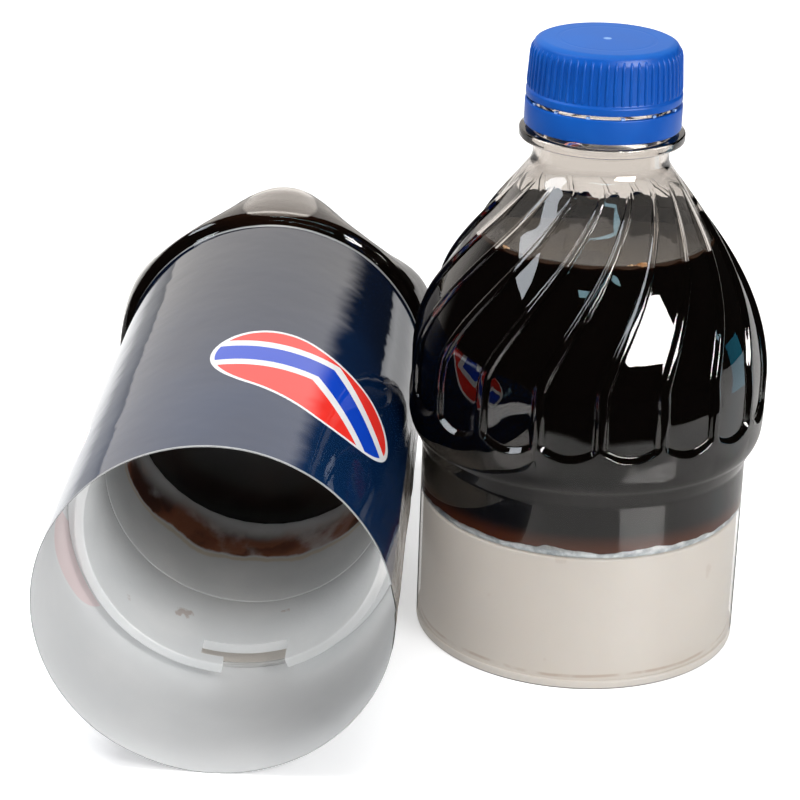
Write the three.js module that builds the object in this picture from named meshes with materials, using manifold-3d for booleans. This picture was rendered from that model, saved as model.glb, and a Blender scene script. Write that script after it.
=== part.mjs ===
// A soft-drink bottle that comes apart at its waist and hides a dry compartment.
//
// The upper half is a real bottle top with its cap, still holding drink above a
// glued-in bulkhead. The lower half keeps drink round and under a stash tube. A
// bayonet collar at the cut joins the halves, and the label sleeve, which stands
// past the cut, hides the joint when they are together.
//
// Millimetres, +Z up. Each half is modelled on its own axis with the cut plane at
// z = 0, and the lower half is then laid on its side next to the standing upper one.

import * as THREE from 'three';
import { mergeVertices } from 'three/addons/utils/BufferGeometryUtils.js';
import Module from 'manifold-3d';

const wasm = await Module();
wasm.setup();

const rad = THREE.MathUtils.degToRad;
const TURN = 2 * Math.PI;

// Walls, clearances and the small rounding of moulded edges
const petWall = 0.5;
const filmWall = 0.2;
const gluedGap = 0.2;
const slidingGap = 0.35;
const seatGap = 0.2;
const runningGap = 0.25;
const sleeveGap = 0.1;
const softEdge = 0.3;

// Upper half, stacked from the cut upward
const waistRadius = 33.4;
const waistHeight = 40.0;
const stepHeight = 3.6;
const stepOut = 1.5;
const bulgeRise = 4.9;
const bulgeOut = 3.05;
const bulgeBand = 9.5;
const shoulderRise = 43.5;
const neckRadius = 13.45;
const neckRise = 4.7;
const stepRadius = waistRadius + stepOut;
const bulgeRadius = waistRadius + bulgeOut;
const crease = waistHeight + stepHeight;
const bulgeStart = crease + bulgeRise;
const shoulderStart = bulgeStart + bulgeBand;
const shoulderEnd = shoulderStart + shoulderRise;
const collarHeight = shoulderEnd + neckRise;

// Swirl flutes pressed into the shoulder, from a ledge low on the bulge
const fluteCount = 18;
const fluteDepth = 1.0;
const fluteRidge = rad(4.4);
const fluteFlank = rad(4.0);
const fluteTwist = rad(38);
const fluteAngle = rad(-86.7);
const ledgeRise = 2.1;
const ledgeDrop = 2.2;
const ledgeRun = fluteDepth + 0.2;
const fluteUpright = 6.0;
const fluteRunout = 3.5;
const fluteFade = 7.1;
const ledgeHeight = bulgeStart + ledgeRise;
const fluteStraightTop = shoulderStart + fluteUpright;
const fluteTop = shoulderEnd - fluteRunout;

// Neck finish, torn band and cap
const collarRadius = 16.5;
const collarThick = 1.6;
const finishRadius = 12.47;
const rootRadius = finishRadius + 0.4;
const beadRadius = 13.4;
const boreRadius = 10.87;
const finishRise = 17.8;
const bandGap = 0.85;
const bandHeight = 4.85;
const bandRadius = 15.6;
const bandWall = 1.0;
const tearGap = 0.7;
const capRadius = 15.5;
const capTopRadius = 14.9;
const capWall = 1.2;
const ribCount = 60;
const ribDepth = 0.4;
const plainLip = 1.5;
const linerRadius = 12.6;
const linerThick = 0.45;
const linerGap = 0.05;
const collarTop = collarHeight + collarThick;
const finishTop = collarHeight + finishRise;
const bandBottom = collarTop + bandGap;
const bandTop = bandBottom + bandHeight;
const capBottom = bandTop + tearGap;
const capTop = finishTop + linerGap + linerThick + 0.1 + capWall;

// Insert glued into the upper half
const lipHeight = 1.8;
const skirtWall = 1.05;
const bulkheadTop = 28.5;
const bulkheadThick = 1.6;
const lugHeight = 1.6;
const lugLift = 0.2;
const lugWidth = rad(22);
const glueHeight = 2.1;
const glueWidth = 1.7;
const drinkRise = 28.4;
const liquidLevel = shoulderStart + drinkRise;

// Lower half, measured down from the cut. The sleeve stands past the cut far enough
// to reach the upper half's step when the bottle is closed
const sleeveLength = 120.5;
const sleeveStand = waistHeight - 0.5;
const lowerRadius = waistRadius - 0.15;
const flangeThick = 1.2;
const ringRadius = waistRadius + 2.2;
const grooveRadius = waistRadius - 1.0;
const grooveGap = 0.8;
const ringGap = 3.2;
const footRadius = waistRadius + 2.9;
const footReach = 30.5;
const domeReach = 26.0;
const sleeveEnd = sleeveLength - sleeveStand;
const grooveDepth = sleeveEnd + grooveGap;
const ringDepth = grooveDepth + ringGap;
const footDepth = ringDepth + footReach;
const domeDepth = ringDepth + domeReach;
const footCount = 5;
const footAngle = rad(90);

// Bayonet collar, stash tube and its floor
const spigotStand = 5.2;
const spigotWall = 2.0;
const collarDepth = 28.0;
const socketDepth = 5.5;
const slotDepth = 3.5;
const notchWidth = rad(25);
const notchStart = rad(-94);
const lockTurn = rad(9);
const tubeWall = 1.1;
const tubeDepth = 62.2;
const tubeLip = 2.0;
const tubeLipThick = 1.0;
const floorThick = 1.2;
const tubeGlueDepth = 40.6;
const bubbleDepth = 1.6;

// How the lower half lies beside the upper one
const standApart = 1.5;
const rimForward = 74.5;
const sleeveOuter = waistRadius + sleeveGap + filmWall;
const axisSpacing = sleeveOuter + standApart + waistRadius;

// Smoothness of the round pieces
const fine = 60;
const coarse = 44;

// Solid helpers

function volumeOf(position, index) {
  const a = new THREE.Vector3();
  const b = new THREE.Vector3();
  const c = new THREE.Vector3();
  let sum = 0;
  for (let i = 0; i < index.length; i += 3) {
    a.fromBufferAttribute(position, index[i]);
    b.fromBufferAttribute(position, index[i + 1]);
    c.fromBufferAttribute(position, index[i + 2]);
    sum += a.dot(b.cross(c));
  }
  return sum / 6;
}

// A closed three.js geometry as a solid, with its faces turned outward
function solid(geometry) {
  const bare = geometry.clone();
  bare.deleteAttribute('normal');
  bare.deleteAttribute('uv');
  const merged = mergeVertices(bare, 1e-4);
  const all = merged.index.array;
  const kept = [];
  for (let i = 0; i < all.length; i += 3) {
    const [a, b, c] = [all[i], all[i + 1], all[i + 2]];
    if (a !== b && b !== c && c !== a) kept.push(a, b, c);
  }
  if (volumeOf(merged.attributes.position, kept) < 0) kept.reverse();
  const vertProperties = new Float32Array(merged.attributes.position.array);
  const triVerts = new Uint32Array(kept);
  return new wasm.Manifold(new wasm.Mesh({ numProp: 3, vertProperties, triVerts }));
}

function geometryOf(manifold) {
  const mesh = manifold.getMesh();
  const geometry = new THREE.BufferGeometry();
  geometry.setAttribute('position', new THREE.BufferAttribute(mesh.vertProperties.slice(), 3));
  geometry.setIndex(new THREE.BufferAttribute(mesh.triVerts.slice(), 1));
  geometry.computeVertexNormals();
  return geometry;
}

// A body of revolution about Z from a profile of [radius, height] corners
function revolve(profile, segments) {
  const points = profile.map(([r, z]) => new THREE.Vector2(r, z));
  const closed = profile[0][0] > 0 || profile[profile.length - 1][0] > 0;
  if (closed) points.push(points[0].clone());
  const geometry = new THREE.LatheGeometry(points, segments);
  geometry.rotateX(Math.PI / 2);
  return solid(geometry);
}

// A closed skin over rings of points; a ring of one point is a pole
function skin(rings) {
  const positions = [];
  const index = [];
  const first = rings.map((ring) => {
    const start = positions.length / 3;
    ring.forEach((p) => positions.push(p.x, p.y, p.z));
    return start;
  });
  for (let r = 0; r + 1 < rings.length; r++) {
    const count = Math.max(rings[r].length, rings[r + 1].length);
    const at = (row, i) => first[row] + (rings[row].length > 1 ? i % count : 0);
    for (let i = 0; i < count; i++) {
      if (rings[r].length > 1) index.push(at(r, i), at(r, i + 1), at(r + 1, i + 1));
      if (rings[r + 1].length > 1) index.push(at(r, i), at(r + 1, i + 1), at(r + 1, i));
    }
  }
  const geometry = new THREE.BufferGeometry();
  geometry.setAttribute('position', new THREE.Float32BufferAttribute(positions, 3));
  geometry.setIndex(index);
  return solid(geometry);
}

function polar(radius, angle, z) {
  return new THREE.Vector3(radius * Math.cos(angle), radius * Math.sin(angle), z);
}

function circle(radius, z, segments) {
  return Array.from({ length: segments }, (_, i) => polar(radius, (TURN * i) / segments, z));
}

function cylinder(radius, bottom, top) {
  const geometry = new THREE.CylinderGeometry(radius, radius, top - bottom, coarse);
  geometry.rotateX(Math.PI / 2);
  geometry.translate(0, 0, 0.5 * (bottom + top));
  return solid(geometry);
}

// A block bounded by two radii, two angles and two heights
function sector(inner, outer, from, to, bottom, top) {
  const shape = new THREE.Shape();
  shape.absarc(0, 0, outer, from, to, false);
  shape.absarc(0, 0, inner, to, from, true);
  shape.closePath();
  const options = { depth: top - bottom, bevelEnabled: false, curveSegments: 6 };
  const geometry = new THREE.ExtrudeGeometry(shape, options);
  geometry.translate(0, 0, bottom);
  return solid(geometry);
}

// Upper half

// Outer radius of the bottle top at a height, without its flutes
function upperRadius(z) {
  if (z <= waistHeight) return waistRadius;
  if (z <= crease) return THREE.MathUtils.lerp(waistRadius, stepRadius, (z - waistHeight) / stepHeight);
  if (z <= bulgeStart) {
    const t = (z - crease) / (bulgeStart - crease);
    return stepRadius + (bulgeRadius - stepRadius) * Math.sin((t * Math.PI) / 2) ** 0.7;
  }
  if (z <= shoulderStart) return bulgeRadius;
  if (z >= shoulderEnd) return neckRadius;
  const t = (z - shoulderStart) / (shoulderEnd - shoulderStart);
  return neckRadius + (bulgeRadius - neckRadius) * Math.cos((t * Math.PI) / 2) ** 1.05;
}

// Flutes end in a small ledge below and run out under the neck
function fluteDepthAt(z) {
  if (z <= ledgeHeight) return 0;
  return fluteDepth * THREE.MathUtils.clamp((fluteTop - z) / fluteFade, 0, 1);
}

// The flutes stand upright at the bulge and swirl round as they climb the shoulder
function fluteAngleAt(z) {
  const t = THREE.MathUtils.clamp((z - fluteStraightTop) / (fluteTop - fluteStraightTop), 0, 1);
  return fluteAngle + fluteTwist * t ** 1.35;
}

// A ring with two corners on each ridge and two on each panel's floor, which may
// lie lower, so that a panel's end is rounded
function flutedRing(z, drop = 0) {
  const radius = upperRadius(z);
  const low = z - drop;
  const floor = upperRadius(low) - fluteDepthAt(low);
  const pitch = TURN / fluteCount;
  const ring = [];
  for (let k = 0; k < fluteCount; k++) {
    const ridge = fluteAngleAt(z) + k * pitch;
    const half = fluteRidge / 2;
    ring.push(polar(radius, ridge - half, z));
    ring.push(polar(radius, ridge + half, z));
    ring.push(polar(floor, ridge + half + fluteFlank, low));
    ring.push(polar(floor, ridge + pitch - half - fluteFlank, low));
  }
  return ring;
}

// Heights that describe the shoulder, shared by the wall and the drink inside it
function shoulderHeights() {
  const steps = 8;
  const heights = [];
  for (let i = 0; i <= steps; i++) {
    const t = Math.sin((i / steps) * (Math.PI / 2));
    heights.push(THREE.MathUtils.lerp(shoulderStart, fluteTop - 0.4, t));
  }
  return heights;
}

function everyOther(list) {
  return list.filter((_, i) => i % 2 === 0);
}

// Heights of the inner face below the shoulder, where it steps in ahead of the ledge
const innerLedge = ledgeHeight - petWall;

function bulgeHeights() {
  return [crease, bulgeStart, innerLedge - ledgeRun, innerLedge];
}

// Inner radius of the bottle wall: it clears the deepest point of the flutes
function upperInner(z) {
  const full = fluteDepthAt(Math.max(z, ledgeHeight + 0.001));
  const share = THREE.MathUtils.clamp((z - innerLedge) / ledgeRun + 1, 0, 1);
  return upperRadius(z) - petWall - share * full;
}

// Waist, bulge and fluted shoulder, up to the root of the neck
function makeShoulder(bottom) {
  const bulge = [crease, crease + 0.4, 0.5 * (crease + bulgeStart), bulgeStart];
  const heights = [bottom, waistHeight, waistHeight + 0.5 * stepHeight, ...bulge];
  const rings = heights.map((z) => flutedRing(z));
  rings.push(flutedRing(ledgeHeight + ledgeDrop, ledgeDrop));
  rings.push(flutedRing(ledgeHeight + ledgeDrop + softEdge, ledgeDrop - 2 * softEdge));
  [...shoulderHeights(), shoulderEnd - softEdge].forEach((z) => rings.push(flutedRing(z)));
  rings.unshift([new THREE.Vector3(0, 0, bottom)]);
  rings.push([new THREE.Vector3(0, 0, shoulderEnd - softEdge)]);
  return skin(rings);
}

// Neck with its carrying collar, the bead that holds the torn band, and the mouth
function makeNeck() {
  const beadHeight = bandBottom + 0.62 * bandHeight;
  return revolve([
    [0, fluteTop],
    [neckRadius, fluteTop],
    [neckRadius, collarHeight - 2 * softEdge],
    [collarRadius - softEdge, collarHeight],
    [collarRadius, collarHeight + 0.5 * collarThick],
    [collarRadius - softEdge, collarTop],
    [rootRadius, collarTop + softEdge],
    [rootRadius, beadHeight - 2 * softEdge],
    [beadRadius, beadHeight],
    [finishRadius, beadHeight + 3 * softEdge],
    [finishRadius, finishTop],
    [0, finishTop],
  ], coarse);
}

function makeUpperShell() {
  const bottom = lipHeight + seatGap;
  const outside = makeShoulder(bottom).add(makeNeck());
  return outside.subtract(makeUpperCavity(bottom - 1, finishTop + 1));
}

// The space inside the bottle top, from its cut edge to its mouth
function makeUpperCavity(bottom, top) {
  const wall = waistRadius - petWall;
  const profile = [[0, bottom], [wall, bottom], [wall, waistHeight]];
  [...bulgeHeights(), ...everyOther(shoulderHeights())].forEach((z) => {
    profile.push([upperInner(z), z]);
  });
  profile.push([neckRadius - petWall, shoulderEnd]);
  profile.push([boreRadius, shoulderEnd + 2.4]);
  profile.push([boreRadius, top], [0, top]);
  return revolve(profile, coarse);
}

function skirtOuter() {
  return waistRadius - petWall - gluedGap;
}

function makeUpperInsert() {
  const outer = skirtOuter();
  const inner = outer - skirtWall;
  const body = revolve([
    [0, bulkheadTop],
    [outer - softEdge, bulkheadTop],
    [outer, bulkheadTop - softEdge],
    [outer, lipHeight],
    [waistRadius, lipHeight],
    [waistRadius, softEdge],
    [waistRadius - softEdge, 0],
    [inner, 0],
    [inner, bulkheadTop - bulkheadThick],
    [0, bulkheadTop - bulkheadThick],
  ], coarse);
  return [0, Math.PI].reduce((whole, angle) => {
    const from = angle - lugWidth / 2;
    const to = angle + lugWidth / 2;
    return whole.add(sector(lugInner(), inner + 0.5 * skirtWall, from, to, lugLift, lugLift + lugHeight));
  }, body);
}

function spigotOuter() {
  return skirtOuter() - skirtWall - slidingGap;
}

function stashRadius() {
  return spigotOuter() - spigotWall;
}

// The lugs reach through the collar's wall but not into the compartment
function lugInner() {
  return stashRadius() + slidingGap;
}

// Adhesive run round the rim of the bulkhead
function makeUpperGlue() {
  const outer = waistRadius - petWall - gluedGap;
  const z = bulkheadTop + seatGap;
  return revolve([
    [outer - glueWidth, z],
    [outer, z],
    [outer, z + glueHeight],
    [outer - 0.45 * glueWidth, z + 0.8 * glueHeight],
    [outer - glueWidth, z + 0.3 * glueHeight],
  ], coarse);
}

function makeUpperDrink() {
  const floor = bulkheadTop + seatGap;
  const rim = floor + glueHeight + gluedGap;
  const wall = waistRadius - petWall - gluedGap;
  const profile = [
    [0, floor],
    [wall - glueWidth - gluedGap, floor],
    [wall - glueWidth - gluedGap, rim],
    [wall, rim],
    [wall, waistHeight],
  ];
  const heights = [...bulgeHeights(), ...everyOther(shoulderHeights())];
  heights.filter((z) => z < liquidLevel - 1).forEach((z) => {
    profile.push([upperInner(z) - gluedGap, z]);
  });
  profile.push([upperInner(liquidLevel) - 3 * gluedGap, liquidLevel], [0, liquidLevel]);
  return revolve(profile, coarse);
}

// Cap

function ribbedRing(radius, z, depth) {
  return Array.from({ length: 2 * ribCount }, (_, i) => {
    return polar(radius - (i % 2) * depth, (Math.PI * i) / ribCount, z);
  });
}

function makeCap() {
  const round = 2.7;
  const rings = [
    [new THREE.Vector3(0, 0, capBottom)],
    ribbedRing(capRadius, capBottom, 0),
    ribbedRing(capRadius, capBottom + plainLip, 0),
    ribbedRing(capRadius, capBottom + plainLip + ribDepth, ribDepth),
    ribbedRing(capTopRadius, capTop - round, ribDepth),
    ribbedRing(capTopRadius - 0.2 * round, capTop - 0.45 * round, 0),
    ribbedRing(capTopRadius - 0.45 * round, capTop - 0.13 * round, 0),
    ribbedRing(capTopRadius - round, capTop, 0),
    [new THREE.Vector3(0, 0, capTop)],
  ];
  const inside = capRadius - capWall - ribDepth;
  return skin(rings).subtract(cylinder(inside, capBottom - 1, capTop - capWall));
}

function makeLiner() {
  const bottom = finishTop + linerGap;
  return cylinder(linerRadius, bottom, bottom + linerThick);
}

// The torn-off ring that stays on the neck, held under the bead by its inner lip
function makeBand() {
  const inner = bandRadius - bandWall;
  const lip = rootRadius + runningGap;
  return revolve([
    [inner, bandBottom],
    [bandRadius - softEdge, bandBottom],
    [bandRadius, bandBottom + softEdge],
    [bandRadius, bandTop],
    [inner, bandTop],
    [inner, bandBottom + 5 * softEdge],
    [lip, bandBottom + 4 * softEdge],
    [lip, bandBottom + 2 * softEdge],
  ], coarse);
}

// Lower half

// Film sleeve: it stands past the cut by the height of the upper half's waist
function makeSleeve() {
  const inner = waistRadius + sleeveGap;
  return revolve([
    [inner, sleeveStand],
    [inner + filmWall, sleeveStand],
    [inner + filmWall, -sleeveEnd],
    [inner, -sleeveEnd],
  ], fine);
}

// Base with feet: the strap between two feet and the middle of a foot are two
// curves from the ring to the centre, and the surface swings between them
function baseCurve(points) {
  return new THREE.SplineCurve(points.map(([r, d]) => new THREE.Vector2(r, -d)));
}

const strapCurve = baseCurve([
  [ringRadius, ringDepth],
  [0.983 * ringRadius, ringDepth + 0.135 * domeReach],
  [0.944 * ringRadius, ringDepth + 0.29 * domeReach],
  [0.87 * ringRadius, ringDepth + 0.48 * domeReach],
  [0.76 * ringRadius, ringDepth + 0.67 * domeReach],
  [0.63 * ringRadius, ringDepth + 0.83 * domeReach],
  [0.48 * ringRadius, ringDepth + 0.95 * domeReach],
  [0.25 * ringRadius, ringDepth + 1.015 * domeReach],
  [0, domeDepth],
]);

const footCurve = baseCurve([
  [ringRadius, ringDepth],
  [0.994 * footRadius, ringDepth + 0.115 * footReach],
  [footRadius, ringDepth + 0.26 * footReach],
  [0.992 * footRadius, ringDepth + 0.475 * footReach],
  [0.937 * footRadius, ringDepth + 0.705 * footReach],
  [0.813 * footRadius, ringDepth + 0.905 * footReach],
  [0.634 * footRadius, footDepth],
  [0.358 * footRadius, ringDepth + 0.925 * footReach],
  [0, domeDepth],
]);

// A point of the lower shell's outer face: t from 0 at the ring to 1 at the centre
function basePoint(t, angle) {
  const lobe = (0.5 + 0.5 * Math.cos(footCount * (angle - footAngle))) ** 0.75;
  const between = strapCurve.getPoint(t).lerp(footCurve.getPoint(t), lobe);
  return polar(between.x, angle, between.y);
}

function baseNormal(t, angle) {
  const e = 0.01;
  const along = basePoint(Math.min(t + e, 1), angle).sub(basePoint(Math.max(t - e, 0), angle));
  const around = basePoint(t, angle + e).sub(basePoint(t, angle - e));
  return around.cross(along).normalize();
}

// Rings of the base, moved inward by a wall thickness
function baseRings(inset, steps, columns) {
  const rings = [];
  for (let s = 1; s < steps; s++) {
    const t = s / steps;
    rings.push(Array.from({ length: columns }, (_, i) => {
      const angle = footAngle + (TURN * i) / columns;
      return basePoint(t, angle).addScaledVector(baseNormal(t, angle), inset);
    }));
  }
  rings.push([new THREE.Vector3(0, 0, -domeDepth + inset)]);
  return rings;
}

function straightRing(radius, depth, columns) {
  return Array.from({ length: columns }, (_, i) => {
    return polar(radius, footAngle + (TURN * i) / columns, -depth);
  });
}

function lowerProfile() {
  const swell = ringRadius - grooveRadius;
  return [
    [lowerRadius, flangeThick + seatGap],
    [lowerRadius, grooveDepth - 0.4 * ringGap],
    [grooveRadius, grooveDepth],
    [grooveRadius + 0.28 * swell, grooveDepth + 0.34 * ringGap],
    [ringRadius - 0.16 * swell, ringDepth - 0.4 * ringGap],
    [ringRadius, ringDepth],
  ];
}

const baseSteps = 8;
const baseColumns = 10 * footCount;

function makeLowerShell() {
  const outside = lowerProfile().map(([r, d]) => straightRing(r, d, baseColumns));
  outside.push(...baseRings(0, baseSteps, baseColumns));
  const inside = lowerProfile().map(([r, d]) => straightRing(r - petWall, d, baseColumns));
  inside[0] = straightRing(lowerRadius - petWall, 0, baseColumns);
  inside.push(...baseRings(petWall, baseSteps, baseColumns));
  const cut = flangeThick + seatGap;
  const body = skin([[new THREE.Vector3(0, 0, -cut)], ...outside]);
  const hollow = skin([[new THREE.Vector3(0, 0, 0)], ...inside]);
  return body.subtract(hollow);
}

function tubeOuter() {
  return stashRadius() + tubeWall;
}

// Drink that fills the base and rises round the stash tube to its glue line
function makeLowerDrink(tilt) {
  const inset = petWall + gluedGap;
  const top = tubeGlueDepth + gluedGap;
  const corners = lowerProfile();
  const profile = [corners[1], corners[2], corners[5]].map(([r, d]) => [r - inset, d]);
  const rings = [[new THREE.Vector3(0, 0, -top)], straightRing(lowerRadius - inset, top, baseColumns)];
  profile.forEach(([r, d]) => rings.push(straightRing(r, d, baseColumns)));
  rings.push(...baseRings(inset, baseSteps, baseColumns));
  const tube = cylinder(tubeOuter() + gluedGap, -tubeDepth - gluedGap, -top + 1);
  const bubble = new THREE.BoxGeometry(2 * footRadius, footRadius, 2 * footReach);
  bubble.translate(0, 0.5 * footRadius, 0);
  bubble.rotateX(-tilt);
  bubble.translate(0, footRadius - inset - bubbleDepth, -ringDepth - 0.26 * footReach);
  return skin(rings).subtract(tube).subtract(solid(bubble));
}

// Bayonet collar: a spigot that stands past the cut, a flange on the cut edge and
// two L-shaped slots that take the upper half's lugs
function makeCollar() {
  const inner = stashRadius();
  const outer = spigotOuter();
  const socket = tubeOuter() + runningGap;
  const body = revolve([
    [inner + softEdge, spigotStand],
    [outer - softEdge, spigotStand],
    [outer, spigotStand - softEdge],
    [outer, 0],
    [lowerRadius, 0],
    [lowerRadius, -flangeThick],
    [outer, -flangeThick],
    [outer, -collarDepth],
    [socket, -collarDepth],
    [socket, -collarDepth + socketDepth],
    [inner, -collarDepth + socketDepth],
    [inner, spigotStand - softEdge],
  ], coarse);
  const tab = lugLift + lugHeight + seatGap;
  return [0, Math.PI].reduce((whole, turn) => {
    const from = notchStart + turn;
    const reach = [inner - spigotWall, lowerRadius + spigotWall];
    const notch = sector(...reach, from, from + notchWidth, -slotDepth, spigotStand + 1);
    const leg = sector(...reach, from - lockTurn, from + 0.1 * lockTurn, -slotDepth, tab);
    return whole.subtract(notch).subtract(leg);
  }, body);
}

function makeTube() {
  const inner = stashRadius();
  const outer = tubeOuter();
  const top = -collarDepth + socketDepth - seatGap;
  return revolve([
    [inner, top],
    [outer, top],
    [outer, -tubeDepth],
    [inner - tubeLip, -tubeDepth],
    [inner - tubeLip, -tubeDepth + tubeLipThick],
    [inner, -tubeDepth + tubeLipThick],
  ], coarse);
}

function makeFloor() {
  const bottom = -tubeDepth + tubeLipThick + seatGap;
  return cylinder(stashRadius() - gluedGap, bottom, bottom + floorThick);
}

function makeTubeGlue() {
  const inner = tubeOuter() + gluedGap;
  const outer = lowerRadius - petWall - gluedGap;
  const z = -tubeGlueDepth;
  return revolve([
    [inner, z],
    [outer, z],
    [outer, z + 0.8 * glueHeight],
    [0.5 * (inner + outer), z + glueHeight],
    [inner, z + 0.8 * glueHeight],
  ], coarse);
}

// Assembly

function material(color, roughness, opacity = 1) {
  return new THREE.MeshStandardMaterial({
    color, roughness, metalness: 0, opacity, transparent: opacity < 1,
  });
}

function part(name, manifold, look) {
  const mesh = new THREE.Mesh(geometryOf(manifold), look);
  mesh.name = name;
  return mesh;
}

const clearPlastic = material(0xd9d4cc, 0.08, 0.35);
const frosted = material(0xb9bcbd, 0.45);
const drink = material(0x140a07, 0.1);
const adhesive = material(0xd5dde2, 0.4);
const capBlue = material(0x145fcf, 0.45);

const upperHalf = new THREE.Group();
upperHalf.add(
  part('upper_shell', makeUpperShell(), clearPlastic),
  part('upper_insert', makeUpperInsert(), material(0xcfc6bb, 0.4)),
  part('upper_glue_bead', makeUpperGlue(), adhesive),
  part('upper_drink', makeUpperDrink(), drink),
  part('screw_cap', makeCap(), capBlue),
  part('cap_liner', makeLiner(), material(0xf0f0ee, 0.5)),
  part('tamper_band', makeBand(), capBlue),
);

// The lower half rests on its sleeve's rim and on the ring above its feet
const rimToRing = sleeveStand + ringDepth;
const layTilt = Math.atan((ringRadius - sleeveOuter) / rimToRing);

const lowerHalf = new THREE.Group();
lowerHalf.add(
  part('label_sleeve', makeSleeve(), material(0x10284f, 0.2)),
  part('lower_shell', makeLowerShell(), clearPlastic),
  part('lower_drink', makeLowerDrink(layTilt), drink),
  part('bayonet_collar', makeCollar(), frosted),
  part('stash_tube', makeTube(), frosted),
  part('stash_floor', makeFloor(), clearPlastic),
  part('tube_glue_bead', makeTubeGlue(), adhesive),
);
lowerHalf.rotation.x = Math.PI / 2 + layTilt;
lowerHalf.position.set(
  -axisSpacing,
  -rimForward + sleeveStand * Math.cos(layTilt),
  sleeveOuter * Math.cos(layTilt) + sleeveStand * Math.sin(layTilt),
);

const bottle = new THREE.Group();
bottle.add(upperHalf, lowerHalf);
bottle.updateMatrixWorld(true);

// Origin at the middle of the footprint, on the table
const bounds = new THREE.Box3().setFromObject(bottle, true);
const middle = bounds.getCenter(new THREE.Vector3());
bottle.position.set(-middle.x, -middle.y, -bounds.min.z);
bottle.updateMatrixWorld(true);

export default bottle;
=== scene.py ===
# %% [markdown]
# # A bottle that hides a dry compartment
#
# A soft-drink bottle was cut at its waist. Its upper half stands on a glued-in
# insert, and its lower half lies beside it with the open rim forward. The packed
# model gives the true solids as a fixed frame. This lesson dresses them: finer
# meshes for the pieces that show, and a finish for every piece.

# %% Load the frame
import math

import bpy
from mathutils import Matrix, Vector, noise


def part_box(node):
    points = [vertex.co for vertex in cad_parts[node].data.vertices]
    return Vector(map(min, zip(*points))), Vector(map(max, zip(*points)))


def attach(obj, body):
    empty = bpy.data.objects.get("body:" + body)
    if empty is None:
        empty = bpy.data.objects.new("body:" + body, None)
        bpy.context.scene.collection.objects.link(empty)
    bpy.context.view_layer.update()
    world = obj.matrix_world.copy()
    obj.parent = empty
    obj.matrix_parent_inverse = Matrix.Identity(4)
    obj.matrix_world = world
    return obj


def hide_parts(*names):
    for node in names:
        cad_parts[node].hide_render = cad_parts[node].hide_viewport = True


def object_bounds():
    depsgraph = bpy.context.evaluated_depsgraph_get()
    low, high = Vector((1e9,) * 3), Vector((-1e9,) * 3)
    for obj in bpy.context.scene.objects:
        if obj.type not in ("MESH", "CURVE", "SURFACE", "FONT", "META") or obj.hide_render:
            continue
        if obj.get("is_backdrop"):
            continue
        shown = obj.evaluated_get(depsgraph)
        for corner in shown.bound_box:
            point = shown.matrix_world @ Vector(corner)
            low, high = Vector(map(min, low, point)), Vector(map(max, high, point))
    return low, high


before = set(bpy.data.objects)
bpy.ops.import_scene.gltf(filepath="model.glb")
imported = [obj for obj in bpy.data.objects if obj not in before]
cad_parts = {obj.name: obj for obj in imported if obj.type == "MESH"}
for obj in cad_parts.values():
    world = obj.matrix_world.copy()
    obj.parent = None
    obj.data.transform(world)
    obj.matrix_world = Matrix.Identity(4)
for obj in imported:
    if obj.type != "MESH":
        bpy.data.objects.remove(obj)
frame_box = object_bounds()
scene = bpy.context.scene

# %% [markdown]
# ## Sizes
#
# All sizes are written in millimetres, as on a drawing, and become metres where a
# mesh is made. They are the frame's own sizes, so a dressed piece sits where its
# solid is. Each half is modelled on its own axis, with the cut of the bottle at
# height zero, and is then moved into place inside its mesh.

# %% Sizes of the bottle
mm = 0.001
TURN = 2 * math.pi

wall = 0.5
film_wall = 0.2
waist_radius = 33.4
waist_height = 40.0
crease = 43.6
step_radius = 34.9
bulge_start = 48.5
bulge_radius = 36.45
shoulder_start = 58.0
shoulder_end = 101.5
neck_radius = 13.45
collar_radius = 16.5
collar_top = 107.8
mouth = 124.0
bore = 10.87
drink_level = 86.4
bulkhead = 28.5

flute_count = 18
flute_depth = 1.0
flute_start = math.radians(-86.7)
flute_twist = math.radians(38)
flute_foot = 50.6
flute_upright = 64.0
flute_top = 98.0

# %% Where the two halves stand
sleeve_radius = 33.7
sleeve_rim = 39.5
sleeve_end = -81.0
base_ring, ring_depth = 35.6, 85.0
tilt = math.atan((base_ring - sleeve_radius) / (sleeve_rim + ring_depth))

low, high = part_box("upper_shell")
upper_axis = Vector(((low.x + high.x) / 2, (low.y + high.y) / 2, 0))
upper_place = Matrix.Translation(upper_axis)

low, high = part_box("label_sleeve")
rim_centre = Vector((
    (low.x + high.x) / 2,
    low.y + sleeve_radius * mm * math.sin(tilt),
    sleeve_radius * mm * math.cos(tilt),
))
lower_origin = rim_centre + sleeve_rim * mm * Vector((0, math.cos(tilt), math.sin(tilt)))
lower_turn = math.pi / 2 + tilt
lower_place = Matrix.Translation(lower_origin) @ Matrix.Rotation(lower_turn, 4, "X")
print("upper axis at", tuple(round(v / mm, 2) for v in upper_axis))
print("lower half's cut at", tuple(round(v / mm, 2) for v in lower_origin))

# %% [markdown]
# ## Camera
#
# The photograph was taken from just above the bottle with a long lens. The camera's
# axes are built from three angles: how far it is turned, how far it looks down, and
# a small roll.

# %% Camera
def camera_matrix(place, turned_by, down, roll):
    ahead = Vector((
        math.sin(turned_by) * math.cos(down),
        math.cos(turned_by) * math.cos(down),
        -math.sin(down),
    ))
    right = Vector((math.cos(turned_by), -math.sin(turned_by), 0))
    up = right.cross(ahead)
    side = right * math.cos(roll) + up * math.sin(roll)
    top = -right * math.sin(roll) + up * math.cos(roll)
    matrix = Matrix((side, top, -ahead)).transposed().to_4x4()
    matrix.translation = place
    return matrix


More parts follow.
